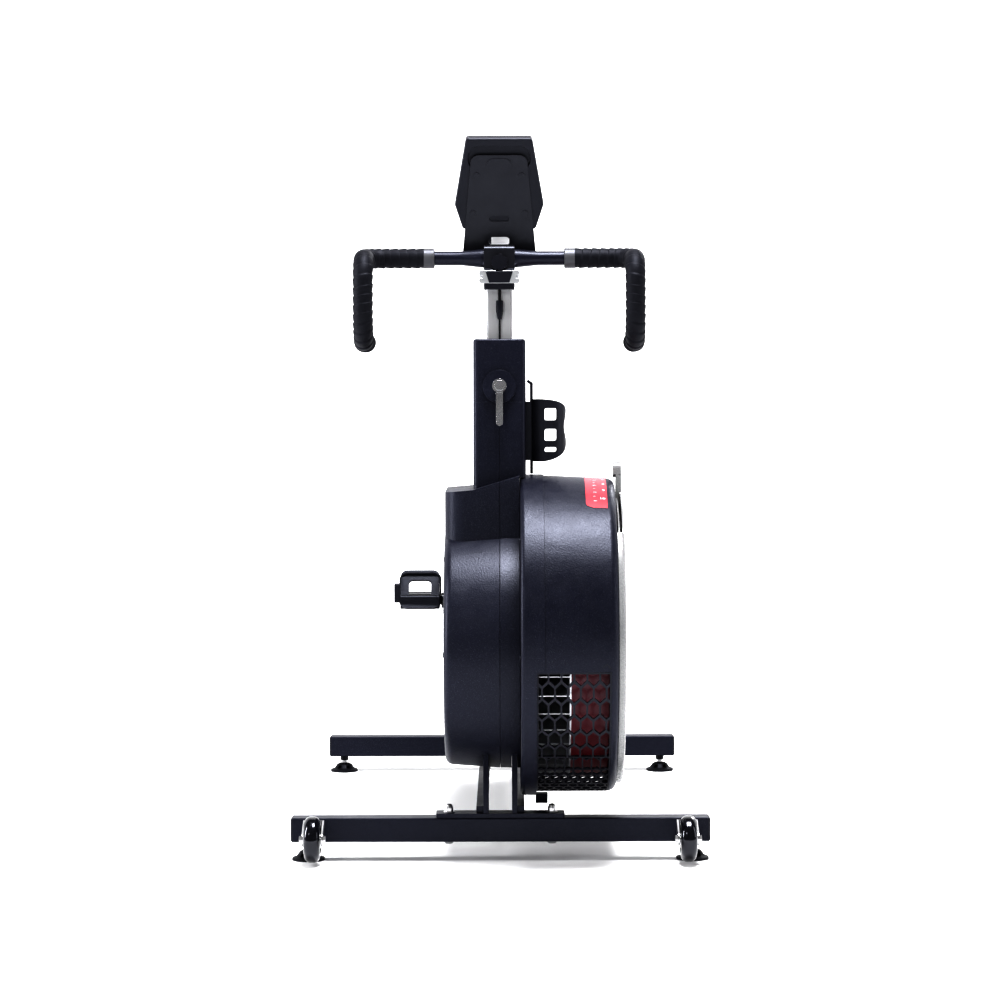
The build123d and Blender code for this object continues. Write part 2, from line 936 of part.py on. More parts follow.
def make_housing_shell():
    start = shell_radius_start
    end = shell_radius_end
    wall = housing_wall
    with BuildPart() as shell:
        with BuildSketch(radial(90)):
            with BuildLine():
                FilletPolyline(
                    (band_out, start),
                    (shell_out, end),
                    (shell_out, intake_radius),
                    radius=shell_corner,
                )
                Polyline(
                    (shell_out, intake_radius),
                    (shell_out - wall, intake_radius),
                    (shell_out - wall, end - shell_corner),
                )
                Polyline(
                    (shell_out - wall, end - shell_corner),
                    (shell_out - shell_corner, end - wall),
                    (band_out, start - wall),
                    (band_out, start),
                )
            make_face()
        revolve(axis=fan_axis)
        add(grille_window.part, mode=Mode.SUBTRACT)
    save(shell.part, "housing_shell")


make_housing_shell()


def make_front_grille():
    outer = shell_radius_end + 1.2
    inner = outer - grille_bar
    width = grille_high - grille_low - 2 * seat_gap
    start = -grille_start - 0.05
    sweep = grille_sweep - 0.1
    with BuildPart() as grille:
        for i in range(grille_rings):
            x = grille_low + seat_gap + grille_bar / 2 + (width - grille_bar) * i / (grille_rings - 1)
            with BuildSketch(radial(start)):
                with Locations((x, (outer + inner) / 2)):
                    Rectangle(grille_bar, grille_bar)
            revolve(axis=fan_axis, revolution_arc=sweep)
        half_bar = degrees(grille_bar / 2 / outer)
        for i in range(grille_ribs):
            angle = start - (sweep - 2 * half_bar) * i / (grille_ribs - 1)
            with BuildSketch(radial(angle)):
                with Locations(((grille_low + grille_high) / 2, (outer + inner) / 2)):
                    Rectangle(width, grille_bar)
            revolve(axis=fan_axis, revolution_arc=2 * half_bar)
    save(grille.part, "front_grille")


make_front_grille()


def sector_slots(count, inner, outer, fill):
    """Slots between two radii about the fan axis, each a share of its pitch wide."""
    with Locations((fan_y, fan_height)):
        with PolarLocations((inner + outer) / 2, count):
            SlotOverall(outer - inner, fill * 2 * 3.1416 * inner / count)


side_cover_low = shell_out + 0.2
side_cover_high = shell_out + side_cover_width
lever_half_angle = degrees(damper_lever_width / 2 / (side_cover_radius - 14)) + 0.5
notch_start = 90 + damper_back + lever_half_angle
notch_sweep = damper_back + damper_forward + 2 * lever_half_angle


def make_side_cover():
    with BuildPart() as cover:
        with BuildSketch(side(side_cover_low)):
            with Locations((fan_y, fan_height)):
                Circle(side_cover_radius)
        extrude(amount=side_cover_high - side_cover_low)
        fillet(cover.faces().sort_by(Axis.X)[-1].edges(), 6)
        with BuildSketch(side(side_cover_low)):
            with Locations((fan_y, fan_height)):
                Circle(side_cover_radius - 7)
        extrude(amount=side_cover_width - 0.2 - side_cover_wall, mode=Mode.SUBTRACT)
        with BuildSketch(side(side_cover_high - side_cover_wall)):
            sector_slots(intake_slot_count, intake_slot_inner, intake_slot_outer, 0.5)
        extrude(amount=side_cover_wall, mode=Mode.SUBTRACT)
        with BuildSketch(radial(notch_start)):
            with Locations(((side_cover_low + side_cover_high) / 2, side_cover_radius)):
                Rectangle(2 * side_cover_width, 26)
        revolve(axis=fan_axis, revolution_arc=notch_sweep, mode=Mode.SUBTRACT)
        with BuildSketch(side(side_cover_low)):
            with Locations((fan_y, fan_height)):
                Circle(14)
        extrude(amount=side_cover_high - side_cover_wall - side_cover_low + 0.5)
    save(cover.part, "side_cover")


make_side_cover()


def make_damper():
    plate_low = shell_out + 2.6
    lever_low = shell_out + 2.6
    lever_high = side_cover_high - side_cover_wall - running_gap
    grip_start = shell_radius_start + 2
    notch_clear = side_cover_radius - 12
    with BuildPart() as damper:
        with BuildSketch(side(plate_low)):
            with Locations((fan_y, fan_height)):
                Circle(damper_plate_radius)
                Circle(14 + running_gap, mode=Mode.SUBTRACT)
        extrude(amount=damper_plate_thickness)
        with BuildSketch(side(plate_low)):
            sector_slots(intake_slot_count, intake_slot_inner, intake_slot_outer, 0.5)
        extrude(amount=damper_plate_thickness, mode=Mode.SUBTRACT)
        with BuildSketch(side(lever_low)):
            with Locations((fan_y, fan_height + (damper_plate_radius + damper_reach - 20) / 2)):
                Rectangle(damper_lever_width, damper_reach - damper_plate_radius)
        extrude(amount=lever_high - lever_low)
        with BuildSketch(side(shell_out - 2)):
            with Locations((fan_y, fan_height + damper_reach - damper_lever_width / 2)):
                Circle(damper_lever_width / 2)
            with Locations((fan_y, fan_height + (grip_start + damper_reach - damper_lever_width / 2) / 2)):
                grip = damper_reach - damper_lever_width / 2 - grip_start
                Rectangle(damper_lever_width, grip)
        extrude(amount=side_cover_high - shell_out + 2)
        with BuildSketch(side(lever_high)):
            with Locations((fan_y, fan_height + (notch_clear + grip_start) / 2)):
                Rectangle(damper_lever_width, grip_start - notch_clear - 2)
        extrude(amount=side_cover_high - lever_high)
    save(damper.part, "damper")


make_damper()


def make_scale_plate():
    low_x = shell_out - 51
    high_x = shell_out - shell_corner - 1
    slope = shell_taper / shell_width

    def surface(x):
        return shell_radius_start - slope * (x - band_out) + 0.05

    with BuildPart() as label:
        with BuildSketch(radial(126)):
            with BuildLine():
                Polyline(
                    (low_x, surface(low_x)),
                    (high_x, surface(high_x)),
                    (high_x, surface(high_x) + label_thickness),
                    (low_x, surface(low_x) + label_thickness),
                    close=True,
                )
            make_face()
        revolve(axis=fan_axis, revolution_arc=72)
    save(label.part, "scale_plate")


make_scale_plate()


# ---------------------------------------------------------------- covers
def hull_profile(inset):
    """The drive cover's outline, drawn in by an inset: the drum, the belt run and the crank lobe."""
    with Locations((fan_y, drum_z)):
        Circle(drum_radius - inset)
    with Locations((crank_y, crank_height)):
        Circle(lobe_radius - inset)
    make_hull()


shoulder_front = beam_face_y + shoulder_behind_face
shoulder_slope = (shoulder_seam_height - shoulder_column_height) / (column_cover_width / 2)
shoulder_left_height = shoulder_seam_height + shoulder_slope * housing_face


def shoulder_outline(inset):
    """Side view of the cover's raised part beside the column, drawn in by an inset."""
    return [
        (shoulder_front + inset, drum_z + 100),
        (shoulder_front + inset, shoulder_seam_height),
        (shoulder_front + 185 - inset * 0.3, shoulder_seam_height),
        (crank_y - 220 - inset * 0.3, crank_height + 175 - inset),
        (crank_y - 220 - inset, drum_z + 100),
    ]


def shoulder_sky(drop):
    """The block above the shoulder's sloping top, lowered by a drop."""
    with BuildPart(mode=Mode.PRIVATE) as block:
        with BuildSketch(front(shoulder_front + 300)):
            with BuildLine():
                Polyline(
                    (-cover_half - 5, shoulder_outer_height - 0.5 - drop),
                    (-column_cover_width / 2, shoulder_column_height - drop),
                    (housing_face + 1, shoulder_left_height - drop),
                    (housing_face + 1, shoulder_left_height + 60),
                    (-cover_half - 5, shoulder_left_height + 60),
                    close=True,
                )
            make_face()
        extrude(amount=400)
    return block.part


def shoulder_solid(inset):
    """The raised part of the belt-side cover, drawn in by an inset."""
    with BuildPart(mode=Mode.PRIVATE) as block:
        with BuildSketch(side(-cover_half + 1 + inset)):
            with BuildLine():
                Polyline(*shoulder_outline(inset), close=True)
            make_face()
        extrude(amount=cover_half - 1 - inset - seam_half)
        outer = block.edges().filter_by(Axis.Z).group_by(Axis.X)[0].sort_by(Axis.Y)[0]
        fillet(outer, shoulder_corner - inset)
        add(shoulder_sky(inset), mode=Mode.SUBTRACT)
    return block.part


def column_sleeve(grow, low, high):
    """A solid block about the column, to clear it out of the covers."""
    with BuildPart(mode=Mode.PRIVATE) as sleeve:
        with BuildSketch(column_plane.offset(low)):
            Rectangle(column_cover_width + 2 * grow, column_cover_depth + 2 * grow)
        extrude(amount=high - low)
    return sleeve.part


def plate_slots(grow):
    """Blocks the shape of the side plates, grown a little, to clear them out of the covers."""
    with BuildPart(mode=Mode.PRIVATE) as blocks:
        for x in (-plate_out - grow, plate_face - grow):
            with BuildSketch(side(x)):
                with BuildLine():
                    Polyline(*plate_outline, close=True)
                make_face()
                offset(amount=grow, kind=Kind.INTERSECTION)
            extrude(amount=plate_thickness + 2 * grow)
    return blocks.part


with BuildPart() as seat_clear:
    with BuildSketch(seat_plane):
        Rectangle(plate_gap + 0.8, seat_tube_depth + 0.8)
    extrude(amount=seat_tube_top)
cover_clear = column_sleeve(0.4, column_cover_foot - 60, column_top)
plate_clear = plate_slots(0.5)


def drum_solid(inset):
    """The belt-side cover's drum and crank lobe as one tapered solid, drawn in by an inset."""
    with BuildPart(mode=Mode.PRIVATE) as block:
        with BuildSketch(Plane(origin=(-seam_half, 0, 0), x_dir=(0, -1, 0), z_dir=(-1, 0, 0))):
            with Locations((-fan_y, drum_z)):
                Circle(drum_radius - inset)
            with Locations((-crank_y, crank_height)):
                Circle(lobe_radius - inset)
            make_hull()
        extrude(amount=cover_half - seam_half - inset, taper=cover_taper)
        fillet(block.faces().sort_by(Axis.X)[0].edges(), cover_corner - inset)
    return block.part


def make_drive_cover_right():
    with BuildPart() as cover:
        add(drum_solid(0))
        add(shoulder_solid(0))
        add(drum_solid(cover_wall), mode=Mode.SUBTRACT)
        add(shoulder_solid(cover_wall), mode=Mode.SUBTRACT)
        with BuildSketch(side(-cover_half)):
            with Locations((crank_y, crank_height)):
                Circle(crank_axle_radius + 12 + 1.5)
        extrude(amount=cover_wall + 2, mode=Mode.SUBTRACT)
        add(cover_clear, mode=Mode.SUBTRACT)
        add(seat_clear.part, mode=Mode.SUBTRACT)
        add(plate_clear, mode=Mode.SUBTRACT)
    save(cover.part, "drive_cover_right")


make_drive_cover_right()


def make_drive_cover_left():
    low = seam_half
    high = housing_face - 0.5
    shroud_depth = 60.0
    shroud_low = drum_z + 150
    with BuildPart() as cover:
        with BuildSketch(side(low)):
            hull_profile(0)
        extrude(amount=high - low)
        with BuildSketch(side(low)):
            hull_profile(cover_wall)
        extrude(amount=high - low - cover_wall, mode=Mode.SUBTRACT)
        with BuildSketch(side(high - cover_wall)):
            with Locations((crank_y, crank_height)):
                Circle(crank_axle_radius + 4)
            with Locations((fan_y, fan_height)):
                Circle(58)
        extrude(amount=cover_wall, mode=Mode.SUBTRACT)
        with BuildSketch(side(low)):
            with Locations((shoulder_front + shroud_depth / 2, (shroud_low + shoulder_left_height) / 2)):
                Rectangle(shroud_depth, shoulder_left_height - shroud_low)
        extrude(amount=high - low)
        with BuildSketch(side(low)):
            with Locations((fan_y, drum_z)):
                Circle(drum_radius - cover_wall)
        extrude(amount=high - low - cover_wall, mode=Mode.SUBTRACT)
        add(shoulder_sky(0), mode=Mode.SUBTRACT)
        add(cover_clear, mode=Mode.SUBTRACT)
        add(seat_clear.part, mode=Mode.SUBTRACT)
        add(plate_clear, mode=Mode.SUBTRACT)
    save(cover.part, "drive_cover_left")


make_drive_cover_left()


def make_column_covers():
    height = column_top - column_head_height - column_cover_foot
    with BuildPart() as covers:
        with BuildSketch(column_plane.offset(column_cover_foot)):
            RectangleRounded(column_cover_width, column_cover_depth, column_corner)
            inner_width = column_cover_width - 2 * column_cover_wall
            inner_depth = column_cover_depth - 2 * column_cover_wall
            RectangleRounded(inner_width, inner_depth, column_corner - 3, mode=Mode.SUBTRACT)
            Rectangle(2 * seam_half, 2 * column_cover_depth, mode=Mode.SUBTRACT)
        extrude(amount=height)
        with BuildSketch(side(housing_face - 0.6)):
            with Locations((fan_y, fan_height)):
                Circle(housing_radius + 1)
        extrude(amount=60, mode=Mode.SUBTRACT)
    save(covers.part, "column_covers")


make_column_covers()


def make_column_head():
    low = column_top - column_head_height
    boss_radius = 28.0
    boss_height = 8.0
    boss_place = column_top - 82
    bolt_radius = 5.0
    front_face = -column_cover_depth / 2
    boss_plane = Plane(
        origin=column_plane.from_local_coords((0, front_face, boss_place)),
        x_dir=(1, 0, 0),
        z_dir=-column_plane.y_dir,
    )
    with BuildPart() as head:
        with BuildSketch(column_plane.offset(low)):
            RectangleRounded(column_cover_width, column_cover_depth, column_corner)
        extrude(amount=column_head_height)
        fillet(head.faces().sort_by(Axis.Z)[-1].edges(), 4)
        with BuildSketch(column_plane.offset(low)):
            Rectangle(column_tube_width, column_tube_depth)
        extrude(amount=column_head_height - 12, mode=Mode.SUBTRACT)
        with BuildSketch(column_plane.offset(column_top - 12)):
            with Locations((0, post_shift)):
                Rectangle(post_width + 2 * running_gap, post_depth + 2 * running_gap)
            with Locations((0, post_shift - post_depth / 2 - 7)):
                Rectangle(18, 14.5)
        extrude(amount=12, mode=Mode.SUBTRACT)
        with BuildSketch(boss_plane):
            Circle(boss_radius)
            Circle(bolt_radius + running_gap, mode=Mode.SUBTRACT)
        extrude(amount=boss_height)
        with BuildSketch(boss_plane):
            Circle(bolt_radius + running_gap)
        extrude(amount=-12, mode=Mode.SUBTRACT)
    save(head.part, "column_head")
    return boss_plane.offset(boss_height)


lever_plane = make_column_head()


def make_post_lever():
    hub_radius = 12.0
    hub_height = 13.0
    nut_radius = 9.0
    arm_length = 62.0
    arm_width = 12.0
    arm_thickness = 7.0
    with BuildPart() as lever:
        with BuildSketch(lever_plane.offset(running_gap)):
            Circle(hub_radius)
        extrude(amount=hub_height)
        with BuildSketch(lever_plane.offset(running_gap + hub_height)):
            RegularPolygon(nut_radius, 6)
        extrude(amount=6)
        with BuildSketch(lever_plane.offset(running_gap + 4)):
            with Locations((0, -arm_length / 2)):
                SlotOverall(arm_length + arm_width, arm_width, rotation=90)
        extrude(amount=arm_thickness)
        with BuildSketch(lever_plane.offset(running_gap)):
            Circle(5)
        extrude(amount=-14)
    save(lever.part, "post_lever")


make_post_lever()


def make_cover_screws():
    head_radius = 4.0
    head_height = 1.4
    housing_angles = (-30, -4, 41, 118)
    with BuildPart() as screws:
        with BuildSketch(side(housing_face - head_height)):
            for angle in housing_angles:
                reach = housing_radius - 14
                y = fan_y - reach * cos(radians(angle))
                z = fan_height + reach * sin(radians(angle))
                with Locations((y, z)):
                    Circle(head_radius)
        extrude(amount=head_height)
        with BuildSketch(side(-cover_half - head_height)):
            for angle in (150, 210, 270, 330, 30):
                y = crank_y - (lobe_radius - 40) * cos(radians(angle + 180))
                z = crank_height + (lobe_radius - 40) * sin(radians(angle + 180))
                with Locations((y, z)):
                    Circle(head_radius)
            for angle in (0, 60, 120, 240, 300):
                y = fan_y - (drum_radius - 32) * cos(radians(angle))
                z = drum_z + (drum_radius - 32) * sin(radians(angle))
                with Locations((y, z)):
                    Circle(head_radius)
        extrude(amount=head_height)
    save(screws.part, "cover_screws")


make_cover_screws()


# ---------------------------------------------------------------- handlebar post and rail
post_crown = on_column(post_top)
head_plate_z = post_crown.Z
rail_profile_z = head_plate_z + head_plate_thickness
rail_profile_y = post_crown.Y - rail_ahead_of_post


def make_bar_post():
    with BuildPart() as post:
        with BuildSketch(column_plane.offset(post_foot)):
            with Locations((0, post_shift)):
                RectangleRounded(post_width, post_depth, 4)
        extrude(amount=post_top - post_foot + 8)
        with BuildSketch(Plane.XY.offset(head_plate_z)):
            with Locations((0, post_crown.Y)):
                Rectangle(200, 200)
        extrude(amount=60, mode=Mode.SUBTRACT)
    save(post.part, "bar_post")


make_bar_post()


def make_slider_rail():
    slot_width = 12.0
    slot_depth = 8.0
    with BuildPart() as rail:
        with BuildSketch(front(rail_profile_y + rail_profile_length)):
            with Locations((0, rail_profile_z + rail_profile_height / 2)):
                RectangleRounded(rail_profile_width, rail_profile_height, 4)
            with Locations((0, rail_profile_z + rail_profile_height - slot_depth / 2)):
                Rectangle(slot_width, slot_depth, mode=Mode.SUBTRACT)
            for x in (-1, 1):
                with Locations((x * (rail_profile_width / 2 - 3), rail_profile_z + rail_profile_height / 2)):
                    Rectangle(6, 6, mode=Mode.SUBTRACT)
        extrude(amount=rail_profile_length)
    save(rail.part, "slider_rail")


make_slider_rail()


def make_rail_caps():
    cap_top = 46.0
    cap_bottom = 34.5
    cap_thickness = 3.0
    with BuildPart() as caps:
        for y in (rail_profile_y, rail_profile_y + rail_profile_length + cap_thickness):
            with BuildSketch(front(y)):
                with BuildLine():
                    Polyline(
                        (-cap_bottom / 2, rail_profile_z + 1),
                        (cap_bottom / 2, rail_profile_z + 1),
                        (cap_top / 2, rail_profile_z + rail_profile_height - 2),
                        (-cap_top / 2, rail_profile_z + rail_profile_height - 2),
                        close=True,
                    )
                make_face()
            extrude(amount=cap_thickness)
        with BuildSketch(Plane.XY.offset(head_plate_z)):
            with Locations((0, post_crown.Y + 10)):
                RectangleRounded(head_plate_width, 74, 5)
        extrude(amount=head_plate_thickness)
    save(caps.part, "rail_caps")


make_rail_caps()

clamp_low = rail_profile_z + rail_profile_height + running_gap
carriage_y = bar_y
knob_plane = Plane(
    origin=(0, carriage_y - clamp_depth / 2, clamp_low + knob_radius + 0.5),
    x_dir=(1, 0, 0),
    z_dir=(0, -1, 0),
)


def make_bar_clamp():
    with BuildPart() as clamp:
        with BuildSketch(side(-clamp_width / 2)):
            with Locations((carriage_y, clamp_low + clamp_block_height / 2)):
                RectangleRounded(clamp_depth, clamp_block_height, 8)
            with Locations((bar_y, bar_height)):
                Circle(bar_clamp_radius + 6)
            with Locations((bar_y, bar_height)):
                Circle(bar_clamp_radius + seat_gap, mode=Mode.SUBTRACT)
        extrude(amount=clamp_width)
        with BuildSketch(knob_plane):
            Circle(knob_shank_radius + running_gap)
        extrude(amount=-knob_shank - running_gap, mode=Mode.SUBTRACT)
    save(clamp.part, "bar_clamp")


make_bar_clamp()


def make_clamp_knob():
    with BuildPart() as knob:
        with BuildSketch(knob_plane.offset(running_gap)):
            Circle(knob_radius)
            with PolarLocations(knob_radius + 2.5, 7):
                Circle(4.5, mode=Mode.SUBTRACT)
        extrude(amount=13)
        with BuildSketch(knob_plane.offset(running_gap)):
            Circle(knob_shank_radius)
        extrude(amount=-knob_shank)
    save(knob.part, "clamp_knob")


make_clamp_knob()

hook_front_y = bar_y - bar_reach
drop_low = bar_height - bar_drop
bar_route = [
    (0, bar_y, bar_height),
    (bar_half_width, bar_y, bar_height),
    (bar_half_width, hook_front_y, bar_height - 6),
    (bar_half_width, hook_front_y, drop_low),
    (bar_half_width, hook_front_y + drop_end_length, drop_low),
]
bar_radii = [bar_corner, bar_corner + 6, bar_corner + 16]


def make_handlebar():
    bulge = bar_clamp_radius
    with BuildPart() as bar:
        with BuildLine():
            FilletPolyline(*bar_route, radius=bar_radii)
        with BuildSketch(side(0)):
            with Locations((bar_y, bar_height)):
                Circle(bar_radius)
        sweep()
        with BuildSketch(Plane(origin=(0, bar_y, 0), x_dir=(1, 0, 0), z_dir=(0, -1, 0))):
            with BuildLine():
                Polyline(
                    (0, bar_height),
                    (0, bar_height + bulge),
                    (clamp_width / 2 + 3, bar_height + bulge),
                    (clamp_width / 2 + 40, bar_height + bar_radius),
                    (clamp_width / 2 + 40, bar_height),
                    close=True,
                )
            make_face()
        revolve(axis=Axis((0, bar_y, bar_height), (1, 0, 0)))
        mirror(about=Plane.YZ)
    save(bar.part, "handlebar")


make_handlebar()


def make_bar_tape():
    route = [(tape_start, bar_y, bar_height)] + bar_route[1:]
    with BuildPart() as tape:
        with BuildLine():
            FilletPolyline(*route, radius=bar_radii)
        with BuildSketch(side(tape_start)):
            with Locations((bar_y, bar_height)):
                Circle(tape_radius)
                Circle(bar_radius, mode=Mode.SUBTRACT)
        sweep()
        mirror(about=Plane.YZ)
    save(tape.part, "bar_tape")


make_bar_tape()


# ---------------------------------------------------------------- sensor cable
def make_sensor_cable():
    cable_radius = 1.6
    cable_x = 0.5
    cable_y = post_shift - post_depth / 2 - 6.5
    plug_low = 538.0
    plug_high = 570.0
    with BuildPart() as cable:
        with BuildSketch(column_plane.offset(column_top - 150)):
            with Locations((cable_x, cable_y)):
                Circle(cable_radius)
        extrude(amount=plug_low - column_top + 150)
        with BuildSketch(column_plane.offset(plug_high)):
            with Locations((cable_x, cable_y)):
                Circle(cable_radius + 1)
        extrude(amount=post_top - plug_high - 2)
    save(cable.part, "sensor_cable")
    with BuildPart() as plug:
        with BuildSketch(column_plane.offset(plug_low)):
            with Locations((cable_x, cable_y)):
                Circle(3.4)
        with BuildSketch(column_plane.offset(plug_low + 14)):
            with Locations((cable_x, cable_y)):
                Circle(6)
        loft()
        with BuildSketch(column_plane.offset(plug_low + 14)):
            with Locations((cable_x, cable_y)):
                Circle(6)
        extrude(amount=plug_high - plug_low - 14)
    save(plug.part, "cable_plug")


make_sensor_cable()


# ---------------------------------------------------------------- console
console_back = Plane(
    origin=(0, bar_y + console_base_behind_bar, console_base_height),
    x_dir=(1, 0, 0),
    z_dir=(0, -cos(radians(console_lean)), -sin(radians(console_lean))),
)


bracket_screws = [(-39, 136), (39, 136), (-45, 69), (45, 69)]


def make_console_bracket():
    hole_height = 20.0
    slot_height = 60.0
    boss_height = 153.0
    with BuildPart() as bracket:
        with BuildSketch(console_back):
            with BuildLine():
                FilletPolyline(
                    (bracket_bottom_half, 0),
                    (bracket_top_half, bracket_length),
                    (-bracket_top_half, bracket_length),
                    (-bracket_bottom_half, 0),
                    radius=14,
                )
                Line((-bracket_bottom_half, 0), (bracket_bottom_half, 0))
            make_face()
            with Locations((0, hole_height)):
                SlotOverall(37, 15, mode=Mode.SUBTRACT)
            with Locations((0, slot_height)):
                SlotOverall(35, 10, mode=Mode.SUBTRACT)
        extrude(amount=bracket_thickness)
        with BuildSketch(console_back.offset(bracket_thickness)):
            with Locations((0, boss_height)):
                SlotOverall(44, 25)
        extrude(amount=1.6)
        with BuildSketch(console_back.offset(bracket_thickness)):
            with Locations(*bracket_screws):
                Circle(5)
        extrude(amount=2)
        lug_top = clamp_low + clamp_block_height
        with BuildSketch(Plane.XY.offset(lug_top)):
            with Locations((0, bar_y + clamp_depth / 2 - 5)):
                Rectangle(clamp_width - 8, 22)
        extrude(amount=3.2)
        with BuildSketch(console_back.offset(bracket_thickness)):
            with Locations((0, -30)):
                Rectangle(200, 60)
        extrude(amount=-40, mode=Mode.SUBTRACT)
    save(bracket.part, "console_bracket")


make_console_bracket()


console_outline = [
    (-console_bottom_half, console_bottom),
    (console_bottom_half, console_bottom),
    (console_wide_half, console_widest),
    (console_top_half, console_top),
    (-console_top_half, console_top),
    (-console_wide_half, console_widest),
]
button_height = console_bottom + 22
button_places = [(-button_spacing, button_height), (0, button_height), (button_spacing, button_height)]
button_names = ("button_left", "button_middle", "button_right")
screen_centre = (0, (button_height + 10 + console_top) / 2)


def make_console_body():
    well_depth = 9.0
    with BuildPart() as body:
        with BuildSketch(console_back):
            with BuildLine():
                FilletPolyline(*console_outline, radius=6, close=True)
            make_face()
        extrude(amount=-console_depth)
        fillet(body.faces().sort_by(Axis.Y)[-1].edges(), 3)
        with BuildSketch(console_back):
            with Locations((0, console_top - recess_rim - recess_height / 2)):
                RectangleRounded(recess_width, recess_height, recess_corner)
        extrude(amount=-recess_depth, mode=Mode.SUBTRACT)
        rider_face = console_back.offset(-console_depth)
        with BuildSketch(rider_face):
            with Locations(screen_centre):
                RectangleRounded(screen_width, screen_height, 4)
        extrude(amount=2.5, mode=Mode.SUBTRACT)
        with BuildSketch(rider_face):
            with Locations(*button_places):
                Circle(button_radius + running_gap)
        extrude(amount=well_depth, mode=Mode.SUBTRACT)
    save(body.part, "console_body")
    with BuildPart() as screen:
        with BuildSketch(rider_face.offset(2.5)):
            with Locations(screen_centre):
                RectangleRounded(screen_width - 2 * seat_gap, screen_height - 2 * seat_gap, 4)
        extrude(amount=-2)
    save(screen.part, "console_screen")
    for name, place in zip(button_names, button_places):
        with BuildPart() as button:
            with BuildSketch(rider_face.offset(well_depth - button_travel - 0.5)):
                with Locations(place):
                    Circle(button_radius)
            extrude(amount=-(well_depth - button_travel - 0.5 + button_stand))
            fillet(button.faces().sort_by(Axis.Y)[-1].edges(), 0.8)
        save(button.part, name)


make_console_body()


# ---------------------------------------------------------------- bottle cage
def make_bottle_cage():
    strip_x = column_cover_width / 2 + 10
    strip = 4.5
    centre_x = strip_x - strip / 2 + cage_bottle_radius
    centre = on_column((cage_low + cage_high) / 2 - fan_height)
    depth = 22.0
    left = centre_x - cage_bottle_radius
    right = centre_x + cage_bottle_radius
    middle = (cage_low + cage_high) / 2
    with BuildPart() as cage:
        with BuildSketch(Plane.XY.offset(cage_low)):
            with Locations((centre_x, centre.Y)):
                Circle(cage_bottle_radius)
                Circle(cage_bottle_radius - cage_wall, mode=Mode.SUBTRACT)
        extrude(amount=cage_high - cage_low)
        with BuildSketch(Plane.XY.offset(cage_low)):
            with Locations((centre_x, centre.Y)):
                Circle(cage_bottle_radius)
        extrude(amount=cage_wall)
        with BuildSketch(front(centre.Y + 80)):
            with BuildLine():
                Spline(
                    (left - 1, cage_high),
                    (centre_x, cage_high - 1),
                    (right - 2, cage_high - 12),
                    (right - 3.5, middle + 10),
                    (right - 3.5, middle + 2),
                    (right, middle - 18),
                    (right - 3, cage_low + 18),
                    (centre_x + 8, cage_low + 4),
                    (left - 1, cage_low),
                )
                Line((left - 1, cage_low), (left - 1, cage_high))
            make_face()
        extrude(amount=160, mode=Mode.INTERSECT)
        with BuildSketch(front(centre.Y + 80)):
            with Locations((centre_x + 4, middle + 27), (centre_x + 4, middle - 8)):
                RectangleRounded(21, 22, 4)
            with Locations((centre_x + 4, middle - 33)):
                RectangleRounded(21, 10, 4)
        extrude(amount=160, mode=Mode.SUBTRACT)
        with BuildSketch(Plane.XY.offset(cage_foot)):
            with Locations((strip_x, centre.Y)):
                Rectangle(strip, depth)
        extrude(amount=cage_tab_high - cage_foot)
        with BuildSketch(front(centre.Y + depth / 2)):
            with Locations((strip_x - 3, cage_tab_high)):
                Rectangle(strip + 5, strip, rotation=-35)
        extrude(amount=depth)
        with BuildSketch(Plane.XY.offset(cage_low + 2)):
            with Locations(((column_cover_width / 2 + strip_x) / 2, centre.Y)):
                Rectangle(strip_x - column_cover_width / 2, depth + 4)
        extrude(amount=cage_high - cage_low - 6)
    save(cage.part, "bottle_cage")


make_bottle_cage()


# ---------------------------------------------------------------- seat
seat_crown = seat_plane.from_local_coords((0, 0, seat_post_top))


def make_seat_post():
    with BuildPart() as post:
        with BuildSketch(seat_plane.offset(seat_post_foot)):
            RectangleRounded(seat_post_width, seat_post_depth, 3)
        extrude(amount=seat_post_top - seat_post_foot + 12)
        with BuildSketch(Plane.XY.offset(seat_crown.Z)):
            with Locations((0, seat_crown.Y)):
                Rectangle(200, 200)
        extrude(amount=60, mode=Mode.SUBTRACT)
        with BuildSketch(front(seat_crown.Y + seat_rail_length / 2)):
            with Locations((0, seat_crown.Z + seat_rail_height / 2)):
                RectangleRounded(seat_rail_width, seat_rail_height, 3)
        extrude(amount=seat_rail_length)
    save(post.part, "seat_post")


make_seat_post()


def make_seat_pin():
    pin_height = seat_tube_top - 35
    pin_plane = Plane(
        origin=seat_plane.from_local_coords((0, seat_tube_depth / 2, pin_height)),
        x_dir=(1, 0, 0),
        z_dir=seat_plane.y_dir,
    )
    with BuildPart() as pin:
        with BuildSketch(pin_plane.offset(-seat_tube_wall + running_gap)):
            Circle(5)
        extrude(amount=seat_tube_wall + 12)
        with BuildSketch(pin_plane.offset(running_gap)):
            Circle(9)
        extrude(amount=8)
        with BuildSketch(pin_plane.offset(8)):
            Circle(pin_knob_radius)
        extrude(amount=16)
        fillet(pin.faces().sort_by(Axis.Y)[-1].edges(), 4)
    save(pin.part, "seat_pin")


make_seat_pin()

slider_low = seat_crown.Z + seat_rail_height + running_gap
slider_height = 26.0
saddle_y = seat_crown.Y
saddle_base = slider_low + slider_height


def make_saddle_slider():
    cheek_drop = 16.0
    cheek = 7.0
    inside = seat_rail_width / 2 + running_gap
    with BuildPart() as slider:
        with BuildSketch(front(saddle_y + 35)):
            with Locations((0, slider_low + slider_height / 2)):
                Rectangle(2 * (inside + cheek), slider_height)
            for x in (-1, 1):
                with Locations((x * (inside + cheek / 2), slider_low - cheek_drop / 2)):
                    Rectangle(cheek, cheek_drop)
        extrude(amount=70)
    save(slider.part, "saddle_slider")


make_saddle_slider()


